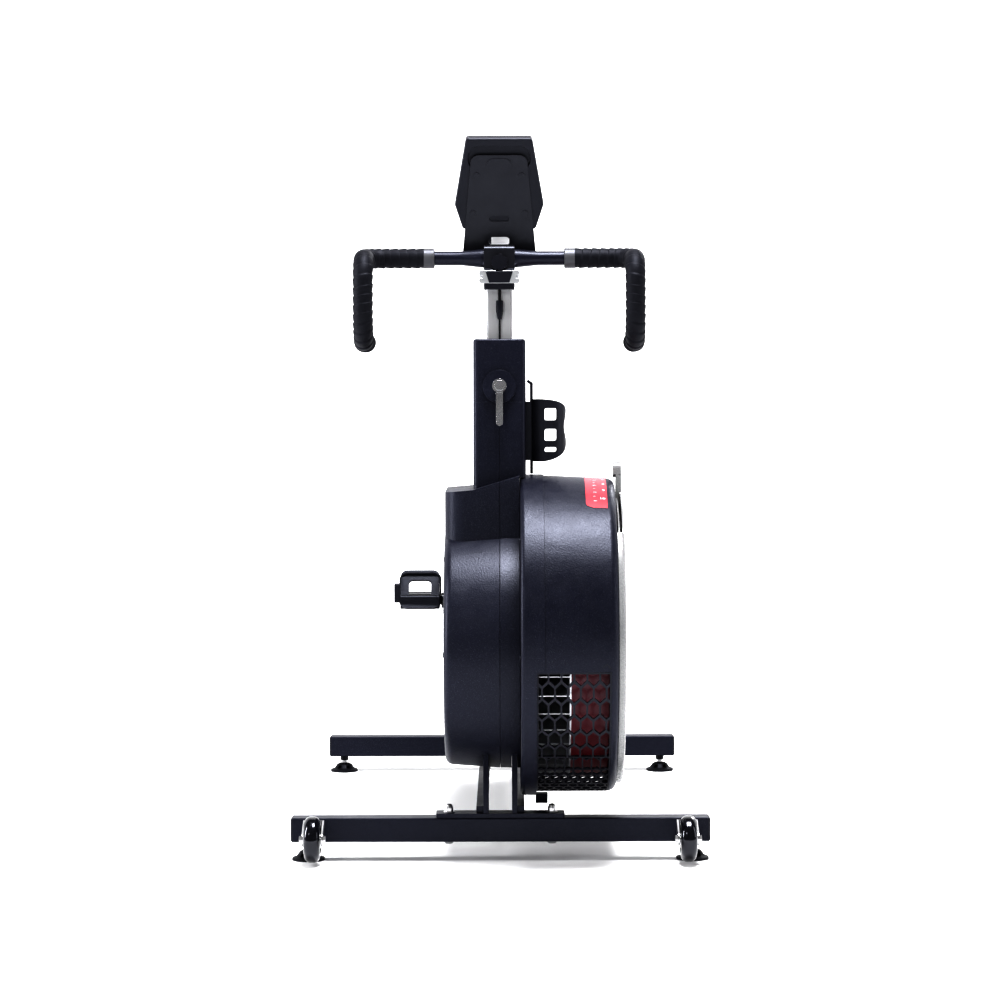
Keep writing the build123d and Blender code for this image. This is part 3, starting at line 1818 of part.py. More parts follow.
def saddle_outline(inset):
    """Points round the saddle's edge, from the middle of its rear, drawn in by an inset."""
    rear = saddle_y + saddle_length * 0.44
    nose = rear - saddle_length
    wide = saddle_width / 2 - inset
    slim = saddle_nose / 2 - inset
    half = [
        (wide * 0.55, rear - 10 - inset),
        (wide * 0.94, rear - 36),
        (wide * 0.92, rear - 84),
        (wide * 0.55, rear - 130),
        (slim * 1.2, rear - 178),
        (slim * 0.9, nose + 22 + inset * 0.5),
    ]
    other = [(-x, y) for x, y in reversed(half)]
    return [(0, rear - 4 - inset)] + half + [(0, nose + inset)] + other


def make_saddle():
    with BuildPart() as base:
        with BuildSketch(Plane.XY.offset(saddle_base)):
            with BuildLine():
                Spline(*saddle_outline(8), periodic=True)
            make_face()
        extrude(amount=saddle_shell_height)
    save(base.part, "saddle_shell")
    with BuildPart() as pad:
        for share, inset in ((0, 0), (0.6, 1), (1, saddle_edge_radius)):
            level = saddle_base + saddle_shell_height + share * saddle_pad_height
            with BuildSketch(Plane.XY.offset(level)):
                with BuildLine():
                    Spline(*saddle_outline(inset), periodic=True)
                make_face()
        loft()
    save(pad.part, "saddle_pad")


make_saddle()
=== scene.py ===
"""Air bike: the finished look of every piece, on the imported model's frame."""

import json
import math

import bmesh
import bpy
import numpy as np
from mathutils import Matrix, Vector


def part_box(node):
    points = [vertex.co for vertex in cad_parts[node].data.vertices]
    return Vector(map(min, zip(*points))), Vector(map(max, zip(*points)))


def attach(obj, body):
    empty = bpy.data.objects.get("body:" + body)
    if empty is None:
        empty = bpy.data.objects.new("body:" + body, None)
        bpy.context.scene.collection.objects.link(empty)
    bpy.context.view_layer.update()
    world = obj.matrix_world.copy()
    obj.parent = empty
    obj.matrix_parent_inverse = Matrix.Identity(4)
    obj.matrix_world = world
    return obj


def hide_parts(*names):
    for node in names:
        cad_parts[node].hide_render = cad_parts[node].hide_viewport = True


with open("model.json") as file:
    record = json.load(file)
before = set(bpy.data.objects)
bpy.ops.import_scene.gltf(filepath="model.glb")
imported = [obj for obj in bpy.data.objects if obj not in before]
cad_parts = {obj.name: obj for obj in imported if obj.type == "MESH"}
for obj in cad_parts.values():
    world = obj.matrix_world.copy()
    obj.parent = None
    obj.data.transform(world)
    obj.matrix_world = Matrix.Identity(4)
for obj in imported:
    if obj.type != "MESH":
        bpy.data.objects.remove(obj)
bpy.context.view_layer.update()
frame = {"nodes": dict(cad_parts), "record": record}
MM = 0.001
COOL = (0.84, 0.87, 1.0, 1.0)
CAD_MERGE = 3e-6
MESH_MERGE = 2e-6
LATTICE_MERGE = 5e-5
BOX_SLACK = 1e-4


# ---------------------------------------------------------------- shader expressions
class Value:
    """A shader socket that takes part in sums; each operator adds one Math node."""

    def __init__(self, tree, socket):
        self.tree = tree
        self.socket = socket

    def sum(self, operation, *terms):
        node = self.tree.nodes.new("ShaderNodeMath")
        node.operation = operation
        for place, term in zip(node.inputs, terms):
            if isinstance(term, Value):
                self.tree.links.new(term.socket, place)
            else:
                place.default_value = term
        return Value(self.tree, node.outputs[0])

    def __add__(self, other):
        return self.sum("ADD", self, other)

    def __radd__(self, other):
        return self.sum("ADD", other, self)

    def __sub__(self, other):
        return self.sum("SUBTRACT", self, other)

    def __rsub__(self, other):
        return self.sum("SUBTRACT", other, self)

    def __mul__(self, other):
        return self.sum("MULTIPLY", self, other)

    def __rmul__(self, other):
        return self.sum("MULTIPLY", other, self)

    def limit(self, low=0.0, high=1.0):
        return self.sum("MINIMUM", self.sum("MAXIMUM", self, low), high)


class Finish:
    """One surface finish on a Principled shader, with its patterns on Object coordinates."""

    def __init__(self, name, colour, rough, **constants):
        self.material = bpy.data.materials.new(name)
        self.material.use_nodes = True
        self.tree = self.material.node_tree
        self.shader = self.tree.nodes["Principled BSDF"]
        self.place = self.node("ShaderNodeTexCoord", out="Object")
        self.feed("Base Color", (*colour, 1.0))
        self.feed("Roughness", rough)
        for key, value in constants.items():
            self.feed(key.replace("_", " "), value)
        self.material.diffuse_color = (*colour, 1.0)

    def socket(self, sockets, name):
        for socket in sockets:
            if socket.identifier == name:
                return socket
        return sockets[name]

    def node(self, kind, sockets=None, out=None, **settings):
        """Adds a node of any kind; its settings are made first, then its sockets fed."""
        node = self.tree.nodes.new(kind)
        for key, value in settings.items():
            if key == "stops":
                for spot, (position, colour) in enumerate(value):
                    if spot > 1:
                        node.color_ramp.elements.new(position)
                for element, (position, colour) in zip(node.color_ramp.elements, value):
                    element.position = position
                    element.color = (*colour, 1.0)
            else:
                setattr(node, key, value)
        for name, value in (sockets or {}).items():
            self.join(self.socket(node.inputs, name), value)
        return Value(self.tree, self.socket(node.outputs, out) if out else node.outputs[0])

    def join(self, socket, value):
        if isinstance(value, Value):
            self.tree.links.new(value.socket, socket)
        else:
            socket.default_value = value

    def feed(self, name, value):
        self.join(self.shader.inputs[name], value)

    def noise(self, size, detail=2.0, stretch=(1.0, 1.0, 1.0), rough=0.5):
        """Noise with features about size metres across, stretched along each axis."""
        scale = [1.0 / (size * s) for s in stretch]
        place = self.node("ShaderNodeMapping", {"Vector": self.place, "Scale": scale})
        return self.node(
            "ShaderNodeTexNoise",
            {"Vector": place, "Scale": 1.0, "Detail": detail, "Roughness": rough},
            out="Fac",
        )

    def cells(self, size, feature="F1"):
        return self.node(
            "ShaderNodeTexVoronoi",
            {"Vector": self.place, "Scale": 1.0 / size},
            out="Distance",
            feature=feature,
        )

    def blend(self, share, first, second):
        """A colour between two, by a share from 0 to 1."""
        first = (*first, 1.0) if isinstance(first, tuple) else first
        second = (*second, 1.0) if isinstance(second, tuple) else second
        return self.node(
            "ShaderNodeMix",
            {"Factor_Float": share, "A_Color": first, "B_Color": second},
            out="Result_Color",
            data_type="RGBA",
        )

    def upward(self):
        """0 on sides and undersides, 1 on faces that look up."""
        normal = self.node("ShaderNodeNewGeometry", out="Normal")
        up = self.node("ShaderNodeSeparateXYZ", {"Vector": normal}, out="Z")
        return up.limit(0.0, 1.0)

    def bump(self, height, depth, strength=1.0):
        """Raises the surface by up to depth metres; a second call adds to the first."""
        normal = self.node(
            "ShaderNodeBump",
            {"Height": height, "Distance": depth, "Strength": strength},
            out="Normal",
        )
        held = self.shader.inputs["Normal"].links
        if held:
            self.tree.links.new(held[0].from_socket, normal.socket.node.inputs["Normal"])
        self.feed("Normal", normal)


def powder_coat(name, dark, light, grain=1.1 * MM, rough=0.42, depth=0.12 * MM):
    """Textured paint or moulded grain: speckled colour with pale specks painted in as glints,
    uneven gloss, pebbled surface.
    """
    finish = Finish(
        name, dark, rough, IOR=1.5, Specular_IOR_Level=0.42, Specular_Tint=COOL
    )
    cloud = finish.noise(90 * MM, 3)
    fine = finish.noise(grain, 3)
    pebble = finish.cells(grain * 1.4, "SMOOTH_F1")
    # painted glints: pale specks mixed into the colour where light would glint off the grain
    painted_glint = (finish.noise(grain * 0.45, 1) - 0.62).limit() * 3.0
    dust = finish.upward() * (finish.noise(22 * MM, 4) - 0.35).limit() * 0.22
    shade = finish.blend((cloud * 0.5 + fine * 0.5).limit(), dark, light)
    shade = finish.blend(painted_glint.limit(0.0, 0.35), shade, (0.16, 0.17, 0.21))
    shade = finish.blend(dust.limit(0.0, 0.12), shade, (0.2, 0.2, 0.21))
    finish.feed("Base Color", shade)
    uneven = cloud * 0.14 + fine * 0.12 + (rough - 0.13) + dust * 0.6
    finish.feed("Roughness", uneven.limit(0.1, 0.9))
    finish.bump(pebble * 0.6 + fine * 0.7, depth)
    return finish


def smooth_plastic(name, dark, light, rough=0.34, grain=0.6 * MM, depth=0.03 * MM, coat=0.0):
    """Moulded plastic or smooth paint with faint mottling and handling marks."""
    finish = Finish(
        name,
        dark,
        rough,
        IOR=1.48,
        Coat_Weight=coat,
        Coat_Roughness=0.08,
        Specular_Tint=COOL,
    )
    cloud = finish.noise(35 * MM, 4)
    rub = finish.noise(6 * MM, 5, (1.0, 1.0, 3.0))
    fine = finish.noise(grain, 2)
    finish.feed("Base Color", finish.blend((cloud * 0.7 + fine * 0.3).limit(), dark, light))
    finish.feed("Roughness", (rub * 0.16 + fine * 0.06 + (rough - 0.11)).limit(0.05, 0.95))
    finish.bump(fine, depth, 0.8)
    return finish


def bright_metal(
    name,
    colour,
    rough,
    stretch=(1.0, 1.0, 14.0),
    line=0.5 * MM,
    depth=0.003 * MM,
    metal=1.0,
):
    """Polished or brushed metal, its fine lines drawn out along one axis."""
    finish = Finish(name, colour, rough, Metallic=metal)
    lines = finish.noise(line, 4, stretch)
    smudge = finish.noise(28 * MM, 4)
    deep = tuple(c * 0.92 for c in colour)
    finish.feed("Base Color", finish.blend((lines * 0.6 + smudge * 0.4).limit(), deep, colour))
    finish.feed("Roughness", (lines * 0.07 + smudge * 0.1 + (rough - 0.08)).limit(0.03, 0.8))
    finish.bump(lines, depth, 0.7)
    return finish


def soft_rubber(name, dark, light, rough=0.62, grain=0.8 * MM, depth=0.06 * MM):
    finish = Finish(name, dark, rough, IOR=1.5, Specular_IOR_Level=0.3, Specular_Tint=COOL)
    cloud = finish.noise(24 * MM, 4)
    grit = finish.noise(grain, 3)
    worn = (finish.noise(9 * MM, 5) - 0.55).limit() * 0.8
    finish.feed("Base Color", finish.blend((cloud * 0.5 + grit * 0.3 + worn).limit(), dark, light))
    finish.feed("Roughness", (grit * 0.18 + cloud * 0.1 + (rough - 0.14)).limit(0.2, 0.95))
    finish.bump(grit, depth)
    return finish


def tape_rubber():
    """Bar tape: fine embossed pores between its wraps."""
    finish = soft_rubber("bar_tape_rubber", (0.006, 0.006, 0.009), (0.02, 0.02, 0.026), 0.58)
    pores = finish.cells(2.2 * MM)
    finish.bump((pores * 1.6).limit(), 0.25 * MM, 0.6)
    return finish


def saddle_cover():
    """Black coated fabric with a pebbled grain, a little shinier where it is sat on."""
    finish = Finish("saddle_cover", (0.012, 0.012, 0.014), 0.5, IOR=1.5, Sheen_Weight=0.08)
    grain = finish.cells(1.7 * MM, "SMOOTH_F1")
    fine = finish.noise(0.5 * MM, 3)
    cloud = finish.noise(60 * MM, 3)
    top = finish.upward()
    mottle = (cloud * 0.6 + fine * 0.4).limit()
    shade = finish.blend(mottle, (0.008, 0.008, 0.01), (0.026, 0.025, 0.027))
    finish.feed("Base Color", shade)
    finish.feed("Roughness", (fine * 0.14 + cloud * 0.12 + 0.4 - top * 0.08).limit(0.2, 0.8))
    finish.bump(grain + fine * 0.4, 0.22 * MM, 0.8)
    return finish


def pale_gloss():
    """Off-white moulded cover with a clear gloss and the faintest orange peel."""
    finish = Finish(
        "pale_cover", (0.3, 0.3, 0.305), 0.3, IOR=1.5, Coat_Weight=0.35, Coat_Roughness=0.06
    )
    cloud = finish.noise(70 * MM, 4)
    peel = finish.noise(2.4 * MM, 2)
    scuff = (finish.noise(4 * MM, 6, (1.0, 5.0, 1.0)) - 0.58).limit() * 0.9
    mottle = (cloud * 0.8 + scuff * 0.4).limit()
    shade = finish.blend(mottle, (0.32, 0.32, 0.325), (0.26, 0.265, 0.27))
    finish.feed("Base Color", shade)
    finish.feed("Roughness", (peel * 0.1 + scuff * 0.3 + 0.22).limit(0.1, 0.8))
    finish.bump(peel, 0.008 * MM, 0.5)
    return finish


def red_film():
    """Glossy printed film with a faint grain."""
    finish = Finish("scale_film", (0.62, 0.045, 0.07), 0.36, IOR=1.5, Coat_Weight=0.25)
    cloud = finish.noise(14 * MM, 3)
    grain = finish.noise(0.7 * MM, 3)
    mottle = (cloud * 0.5 + grain * 0.5).limit()
    shade = finish.blend(mottle, (0.4, 0.028, 0.045), (0.58, 0.07, 0.1))
    finish.feed("Base Color", shade)
    finish.feed("Roughness", (grain * 0.2 + 0.3).limit(0.1, 0.8))
    finish.bump(grain, 0.03 * MM, 0.6)
    return finish


def red_paint():
    """Deep red paint with a fine flake."""
    finish = smooth_plastic("rim_red", (0.07, 0.001, 0.005), (0.12, 0.003, 0.009), 0.36, coat=0.2)
    flake = finish.noise(0.4 * MM, 2)
    finish.bump(flake, 0.02 * MM, 0.5)
    return finish


def display_glass():
    """A dark display window with a pale liquid-crystal field behind it."""
    finish = Finish(
        "display_glass", (0.02, 0.024, 0.024), 0.12, IOR=1.5, Coat_Weight=1.0, Coat_Roughness=0.03
    )
    cloud = finish.noise(40 * MM, 3)
    smear = finish.noise(9 * MM, 6, (1.0, 1.0, 2.5))
    finish.feed("Base Color", finish.blend(cloud.limit(), (0.13, 0.15, 0.13), (0.18, 0.2, 0.17)))
    finish.feed("Roughness", (smear * 0.16 + 0.06).limit(0.04, 0.5))
    return finish


frame_paint = powder_coat(
    "frame_paint", (0.004, 0.0045, 0.012), (0.014, 0.015, 0.03), 1.5 * MM, 0.36, 0.2 * MM
)
cover_plastic = powder_coat(
    "cover_plastic", (0.0045, 0.005, 0.013), (0.017, 0.018, 0.034), 1.9 * MM, 0.4, 0.3 * MM
)
black_plastic = smooth_plastic(
    "black_plastic", (0.006, 0.006, 0.01), (0.016, 0.016, 0.023), 0.42, 0.7 * MM, 0.06 * MM
)
dark_steel = smooth_plastic(
    "dark_steel", (0.01, 0.01, 0.014), (0.026, 0.026, 0.032), 0.34, 0.5 * MM, 0.04 * MM
)
wheel_gloss = smooth_plastic(
    "wheel_gloss", (0.004, 0.004, 0.007), (0.012, 0.012, 0.017), 0.16, 0.9 * MM, 0.015 * MM, 0.6
)
foot_rubber = soft_rubber("foot_rubber", (0.006, 0.006, 0.009), (0.022, 0.022, 0.026), 0.5)
belt_rubber = soft_rubber("belt_rubber", (0.008, 0.008, 0.008), (0.03, 0.03, 0.03), 0.7)
button_rubber = soft_rubber(
    "button_rubber", (0.2, 0.2, 0.21), (0.34, 0.34, 0.35), 0.55, 0.5 * MM
)
cable_jacket = soft_rubber(
    "cable_jacket", (0.008, 0.008, 0.01), (0.025, 0.025, 0.028), 0.5, 0.4 * MM
)
bar_tape = tape_rubber()
band_grey = smooth_plastic("band_grey", (0.07, 0.07, 0.076), (0.12, 0.12, 0.126), 0.4, 0.5 * MM)
polished_post = bright_metal("polished_post", (0.86, 0.86, 0.88), 0.3, metal=0.8)
rail_metal = bright_metal("rail_metal", (0.78, 0.79, 0.81), 0.3, (1.0, 14.0, 1.0))
chrome = bright_metal(
    "lever_chrome", (0.7, 0.7, 0.72), 0.18, (1.0, 1.0, 4.0), 0.8 * MM, metal=0.9
)
zinc = bright_metal("zinc_plate", (0.62, 0.62, 0.63), 0.3, (1.0, 1.0, 2.0), 1.0 * MM)
iron = bright_metal("flywheel_iron", (0.24, 0.24, 0.25), 0.42, (6.0, 1.0, 1.0))
fan_metal = bright_metal("fan_metal", (0.62, 0.63, 0.66), 0.45, (1.0, 1.0, 5.0))
arm_steel = smooth_plastic(
    "arm_black", (0.012, 0.012, 0.015), (0.03, 0.03, 0.034), 0.28, 0.6 * MM, 0.03 * MM, 0.3
)
pale_cover = pale_gloss()
scale_film = red_film()
rim_red = red_paint()
saddle_skin = saddle_cover()
display = display_glass()
print_white = smooth_plastic("print_white", (0.72, 0.72, 0.72), (0.84, 0.84, 0.84), 0.45)
ink_dark = smooth_plastic("ink_dark", (0.01, 0.012, 0.012), (0.02, 0.024, 0.024), 0.4)
thread_black = soft_rubber(
    "saddle_thread", (0.03, 0.03, 0.033), (0.06, 0.06, 0.065), 0.7, 0.2 * MM
)

SLOT = {entry["node"]: entry["material_slot"] for entry in frame["record"]["subparts"]}
BODY = {n: body for body, names in frame["record"]["behaviour"]["bodies"].items() for n in names}


# ---------------------------------------------------------------- making pieces
def place(name, mesh, finish, body, slot, stands_for=()):
    """Puts a mesh in the scene as a piece of a body, standing for CAD pieces."""
    if not mesh.materials:
        mesh.materials.append(finish.material)
    piece = bpy.data.objects.new(name, mesh)
    bpy.context.scene.collection.objects.link(piece)
    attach(piece, body)
    if stands_for:
        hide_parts(*stands_for)
    return piece


def settle(piece):
    """The piece's mesh with its modifiers worked in."""
    bpy.context.view_layer.update()
    graph = bpy.context.evaluated_depsgraph_get()
    mesh = bpy.data.meshes.new_from_object(piece.evaluated_get(graph))
    bpy.data.objects.remove(piece)
    return mesh


def merged(node, dissolve=True):
    """A merged copy of a CAD piece's surface, as a bmesh."""
    shape = bmesh.new()
    shape.from_mesh(frame["nodes"][node].data)
    bmesh.ops.remove_doubles(shape, verts=shape.verts, dist=CAD_MERGE)
    if dissolve:
        bmesh.ops.dissolve_limit(
            shape,
            angle_limit=math.radians(0.5),
            use_dissolve_boundaries=False,
            verts=shape.verts,
            edges=shape.edges,
        )
    return shape


def mesh_from(shape, name):
    mesh = bpy.data.meshes.new(name)
    shape.to_mesh(mesh)
    shape.free()
    return mesh


def shade(mesh, angle=36):
    mesh.polygons.foreach_set("use_smooth", [True] * len(mesh.polygons))
    mesh.set_sharp_from_angle(angle=math.radians(angle))
    return mesh


def dress(node, finish, edge=0.5 * MM, angle=36):
    """The CAD piece with its sharp edges eased, in its finish."""
    low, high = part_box(node)
    mesh = mesh_from(merged(node), node + "_look")
    if edge:
        plain = bpy.data.objects.new(node + "_plain", mesh)
        bpy.context.scene.collection.objects.link(plain)
        bevel = plain.modifiers.new("ease", "BEVEL")
        bevel.width = edge
        bevel.segments = 2
        bevel.limit_method = "ANGLE"
        bevel.angle_limit = math.radians(angle)
        bevel.use_clamp_overlap = True
        mesh.polygons.foreach_set("use_smooth", [True] * len(mesh.polygons))
        even = plain.modifiers.new("even", "WEIGHTED_NORMAL")
        even.keep_sharp = True
        even.weight = 80
        eased = settle(plain)
        spots = np.array([v.co for v in eased.vertices] or [(0.0, 0.0, 0.0)])
        above = (spots.min(0) > np.array(low) - BOX_SLACK).all()
        below = (spots.max(0) < np.array(high) + BOX_SLACK).all()
        if above and below:
            eased.name = node + "_look"
            eased.materials.clear()
            return place(node + "_look", eased, finish, BODY[node], SLOT[node], (node,))
        mesh = mesh_from(merged(node), node + "_look")
    mesh.materials.clear()
    shade(mesh, angle)
    return place(node + "_look", mesh, finish, BODY[node], SLOT[node], (node,))


def build(name, spots, faces):
    mesh = bpy.data.meshes.new(name)
    mesh.from_pydata([tuple(p) for p in spots], [], faces)
    mesh.validate()
    return mesh


def outward(mesh):
    """Merges doubles and turns every face outwards."""
    shape = bmesh.new()
    shape.from_mesh(mesh)
    bmesh.ops.remove_doubles(shape, verts=shape.verts, dist=MESH_MERGE)
    bmesh.ops.recalc_face_normals(shape, faces=shape.faces)
    shape.to_mesh(mesh)
    shape.free()
    return mesh


def joined(name, meshes):
    """One mesh out of several, keeping their materials."""
    shape = bmesh.new()
    finishes = []
    for mesh in meshes:
        start = len(shape.faces)
        shape.from_mesh(mesh)
        shape.faces.ensure_lookup_table()
        held = list(mesh.materials)
        for material in held:
            if material not in finishes:
                finishes.append(material)
        for face in shape.faces[start:]:
            face.material_index = finishes.index(held[min(face.material_index, len(held) - 1)])
    whole = bpy.data.meshes.new(name)
    shape.to_mesh(whole)
    shape.free()
    for material in finishes:
        whole.materials.append(material)
    return whole


def lathe(profile, centre, axis, steps=48):
    """A closed turned solid: (distance along axis, radius) pairs about an axis through centre."""
    axis = Vector(axis).normalized()
    across = axis.orthogonal().normalized()
    other = axis.cross(across)
    spots, faces = [], []
    for along, radius in profile:
        for i in range(steps):
            a = 2 * math.pi * i / steps
            way = across * math.cos(a) + other * math.sin(a)
            spots.append(Vector(centre) + axis * along + way * radius)
    for ring in range(len(profile) - 1):
        for i in range(steps):
            a, b = ring * steps + i, ring * steps + (i + 1) % steps
            faces.append((a, b, b + steps, a + steps))
    faces.append(tuple(range(steps))[::-1])
    faces.append(tuple(range((len(profile) - 1) * steps, len(profile) * steps)))
    return outward(build("turned", spots, faces))


# ---------------------------------------------------------------- geometry node trees
class Tree:
    """A Geometry Nodes tree built in plain steps, with named inputs for its sizes."""

    def __init__(self, name, sizes):
        self.group = bpy.data.node_groups.new(name, "GeometryNodeTree")
        self.group.interface.new_socket(
            "Geometry", in_out="OUTPUT", socket_type="NodeSocketGeometry"
        )
        self.sizes = sizes
        self.keys = {}
        for key, value in sizes.items():
            kind = "NodeSocketInt" if isinstance(value, int) else "NodeSocketFloat"
            entry = self.group.interface.new_socket(key, in_out="INPUT", socket_type=kind)
            self.keys[key] = entry.identifier
        self.inlet = self.group.nodes.new("NodeGroupInput")
        self.outlet = self.group.nodes.new("NodeGroupOutput")

    def size(self, key):
        return self.inlet.outputs[key]

    def step(self, kind, sockets=None, out=0, **settings):
        node = self.group.nodes.new(kind)
        for key, value in settings.items():
            setattr(node, key, value)
        for key, value in (sockets or {}).items():
            spot = node.inputs[key]
            if isinstance(value, bpy.types.NodeSocket):
                self.group.links.new(value, spot)
            elif isinstance(value, list):
                for each in value:
                    self.group.links.new(each, spot)
            else:
                spot.default_value = value
        return node.outputs[out]

    def maths(self, operation, *terms):
        return self.step("ShaderNodeMath", dict(enumerate(terms)), operation=operation)

    def run(self, geometry, finish):
        """Realizes the instances, sets the finish and returns the plain mesh."""
        solid = self.step("GeometryNodeRealizeInstances", {"Geometry": geometry})
        painted = self.step(
            "GeometryNodeSetMaterial", {"Geometry": solid, "Material": finish.material}
        )
        self.group.links.new(painted, self.outlet.inputs[0])
        holder = bpy.data.objects.new("holder", bpy.data.meshes.new("holder"))
        bpy.context.scene.collection.objects.link(holder)
        modifier = holder.modifiers.new("make", "NODES")
        modifier.node_group = self.group
        for key, value in self.sizes.items():
            modifier[self.keys[key]] = value
        return settle(holder)


def hex_mesh(columns, rows, pitch_x, pitch_s, wall, finish):
    """A flat lattice of tall six-sided cells, its middle at the origin, in the XY plane."""
    tree = Tree(
        "hex_mesh",
        {
            "Columns": columns,
            "Rows": rows,
            "Column pitch": pitch_x,
            "Row pitch": pitch_s,
            "Wall": wall,
        },
    )
    column_pitch, row_pitch = tree.size("Column pitch"), tree.size("Row pitch")
    gaps_across = tree.maths("SUBTRACT", tree.size("Columns"), 1.0)
    wide = tree.maths("MULTIPLY", gaps_across, column_pitch)
    gaps_along = tree.maths("SUBTRACT", tree.size("Rows"), 1.0)
    tall = tree.maths("MULTIPLY", gaps_along, row_pitch)
    grid = tree.step(
        "GeometryNodeMeshGrid",
        {
            "Size X": wide,
            "Size Y": tall,
            "Vertices X": tree.size("Columns"),
            "Vertices Y": tree.size("Rows"),
        },
    )
    spot = tree.step("GeometryNodeInputPosition")
    apart = tree.group.nodes.new("ShaderNodeSeparateXYZ")
    tree.group.links.new(spot, apart.inputs[0])
    from_foot = tree.maths("ADD", apart.outputs[1], tree.maths("DIVIDE", tall, 2.0))
    row = tree.maths("DIVIDE", from_foot, row_pitch)
    odd = tree.maths("MODULO", tree.maths("ROUND", row), 2.0)
    half_pitch = tree.maths("DIVIDE", column_pitch, 2.0)
    push = tree.step("ShaderNodeCombineXYZ", {0: tree.maths("MULTIPLY", odd, half_pitch)})
    grid = tree.step("GeometryNodeSetPosition", {"Geometry": grid, "Offset": push})
    cell = tree.step("GeometryNodeMeshCircle", {"Vertices": 6, "Radius": 1.0}, fill_type="NGON")
    stretch = tree.step(
        "ShaderNodeCombineXYZ",
        {
            0: tree.maths("DIVIDE", column_pitch, math.sqrt(3)),
            1: tree.maths("DIVIDE", row_pitch, 1.5),
            2: 1.0,
        },
    )
    upright = (0, 0, math.radians(90))
    cell = tree.step("GeometryNodeTransform", {"Geometry": cell, "Rotation": upright})
    cell = tree.step("GeometryNodeTransform", {"Geometry": cell, "Scale": stretch})
    pushed = tree.group.nodes.new("GeometryNodeExtrudeMesh")
    tree.group.links.new(cell, pushed.inputs["Mesh"])
    pushed.inputs["Offset Scale"].default_value = 0.0
    share = tree.maths("SUBTRACT", 1.0, tree.maths("DIVIDE", tree.size("Wall"), column_pitch))
    shrunk = tree.step(
        "GeometryNodeScaleElements",
        {"Geometry": pushed.outputs["Mesh"], "Selection": pushed.outputs["Top"], "Scale": share},
    )
    ring = tree.step(
        "GeometryNodeDeleteGeometry",
        {"Geometry": shrunk, "Selection": pushed.outputs["Top"]},
        domain="FACE",
    )
    cells = tree.step("GeometryNodeInstanceOnPoints", {"Points": grid, "Instance": ring})
    return tree.run(cells, finish)


def row_of(shape_kind, sizes, count, start, step, turn, finish):
    """A straight row of equal shapes, such as the rings of a thread."""
    tree = Tree("row", {"Count": count, **sizes})
    line = tree.step(
        "GeometryNodeMeshLine",
        {"Count": tree.size("Count"), "Start Location": start, "Offset": step},
        mode="OFFSET",
        count_mode="TOTAL",
    )
    shape = tree.step(shape_kind, {key: tree.size(key) for key in sizes})
    dots = tree.step(
        "GeometryNodeInstanceOnPoints",
        {"Points": line, "Instance": shape, "Rotation": turn},
    )
    return tree.run(dots, finish)


# ---------------------------------------------------------------- main places
fan_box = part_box("fan_wheel")
fan_y = (fan_box[0].y + fan_box[1].y) / 2
fan_z = (fan_box[0].z + fan_box[1].z) / 2
shell_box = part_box("housing_shell")
shell_low, shell_high = shell_box[0].x, shell_box[1].x
shell_radius = (shell_box[1].y - shell_box[0].y) / 2
shell_taper = 6.0 * MM / (shell_high - shell_low)

# ---------------------------------------------------------------- dressed pieces
for name, finish, edge in (
    ("front_beam", frame_paint, 0.4 * MM),
    ("rear_beam", frame_paint, 0.4 * MM),
    ("beam_end_caps", black_plastic, 0.5 * MM),
    ("base_rails", frame_paint, 0.7 * MM),
    ("base_bolts", zinc, 0.3 * MM),
    ("side_plates", frame_paint, 0.8 * MM),
    ("column_tube", frame_paint, 0),
    ("seat_tube", frame_paint, 0.8 * MM),
    ("foot_front_left", foot_rubber, 0.4 * MM),
    ("foot_front_right", foot_rubber, 0.4 * MM),
    ("foot_rear_left", foot_rubber, 0.4 * MM),
    ("foot_rear_right", foot_rubber, 0.4 * MM),
    ("transport_wheel_left", wheel_gloss, 0.5 * MM),
    ("transport_wheel_right", wheel_gloss, 0.5 * MM),
    ("wheel_brackets", zinc, 0.4 * MM),
    ("crank_axle", zinc, 0.6 * MM),
    ("crank_arm_right", arm_steel, 1.6 * MM),
    ("crank_arm_left", arm_steel, 1.6 * MM),
    ("crank_pulley", fan_metal, 0),
    ("drive_belt", belt_rubber, 0),
    ("fan_axle", zinc, 0),
    ("flywheel", iron, 0),
    ("bearings", zinc, 0),
    ("fan_wheel", fan_metal, 0),
    ("fan_rim", rim_red, 0),
    ("housing_band", cover_plastic, 0.8 * MM),
    ("housing_shell", cover_plastic, 0.6 * MM),
    ("side_cover", pale_cover, 0.8 * MM),
    ("damper", pale_cover, 0.8 * MM),
    ("cover_screws", dark_steel, 0.3 * MM),
    ("drive_cover_right", cover_plastic, 0.9 * MM),
    ("drive_cover_left", cover_plastic, 0.9 * MM),
    ("column_covers", cover_plastic, 0.5 * MM),
    ("column_head", cover_plastic, 0.6 * MM),
    ("bar_post", polished_post, 0.5 * MM),
    ("slider_rail", rail_metal, 0.4 * MM),
    ("rail_caps", black_plastic, 0.6 * MM),
    ("post_lever", chrome, 0.8 * MM),
    ("bar_clamp", dark_steel, 1.0 * MM),
    ("clamp_knob", black_plastic, 1.0 * MM),
    ("handlebar", frame_paint, 0),
    ("console_bracket", dark_steel, 0.5 * MM),
    ("console_body", black_plastic, 1.2 * MM),
    ("console_screen", display, 0.2 * MM),
    ("bottle_cage", black_plastic, 0.5 * MM),
    ("seat_post", polished_post, 0.6 * MM),
    ("seat_pin", black_plastic, 1.0 * MM),
    ("saddle_slider", dark_steel, 1.2 * MM),
    ("saddle_shell", black_plastic, 1.2 * MM),
    ("pedal_right", black_plastic, 0.8 * MM),
    ("pedal_left", black_plastic, 0.8 * MM),
    ("sensor_cable", cable_jacket, 0),
    ("cable_plug", black_plastic, 0.5 * MM),
    ("button_left", button_rubber, 0.2 * MM),
    ("button_middle", button_rubber, 0.2 * MM),
    ("button_right", button_rubber, 0.2 * MM),
):
    dress(name, finish, edge)


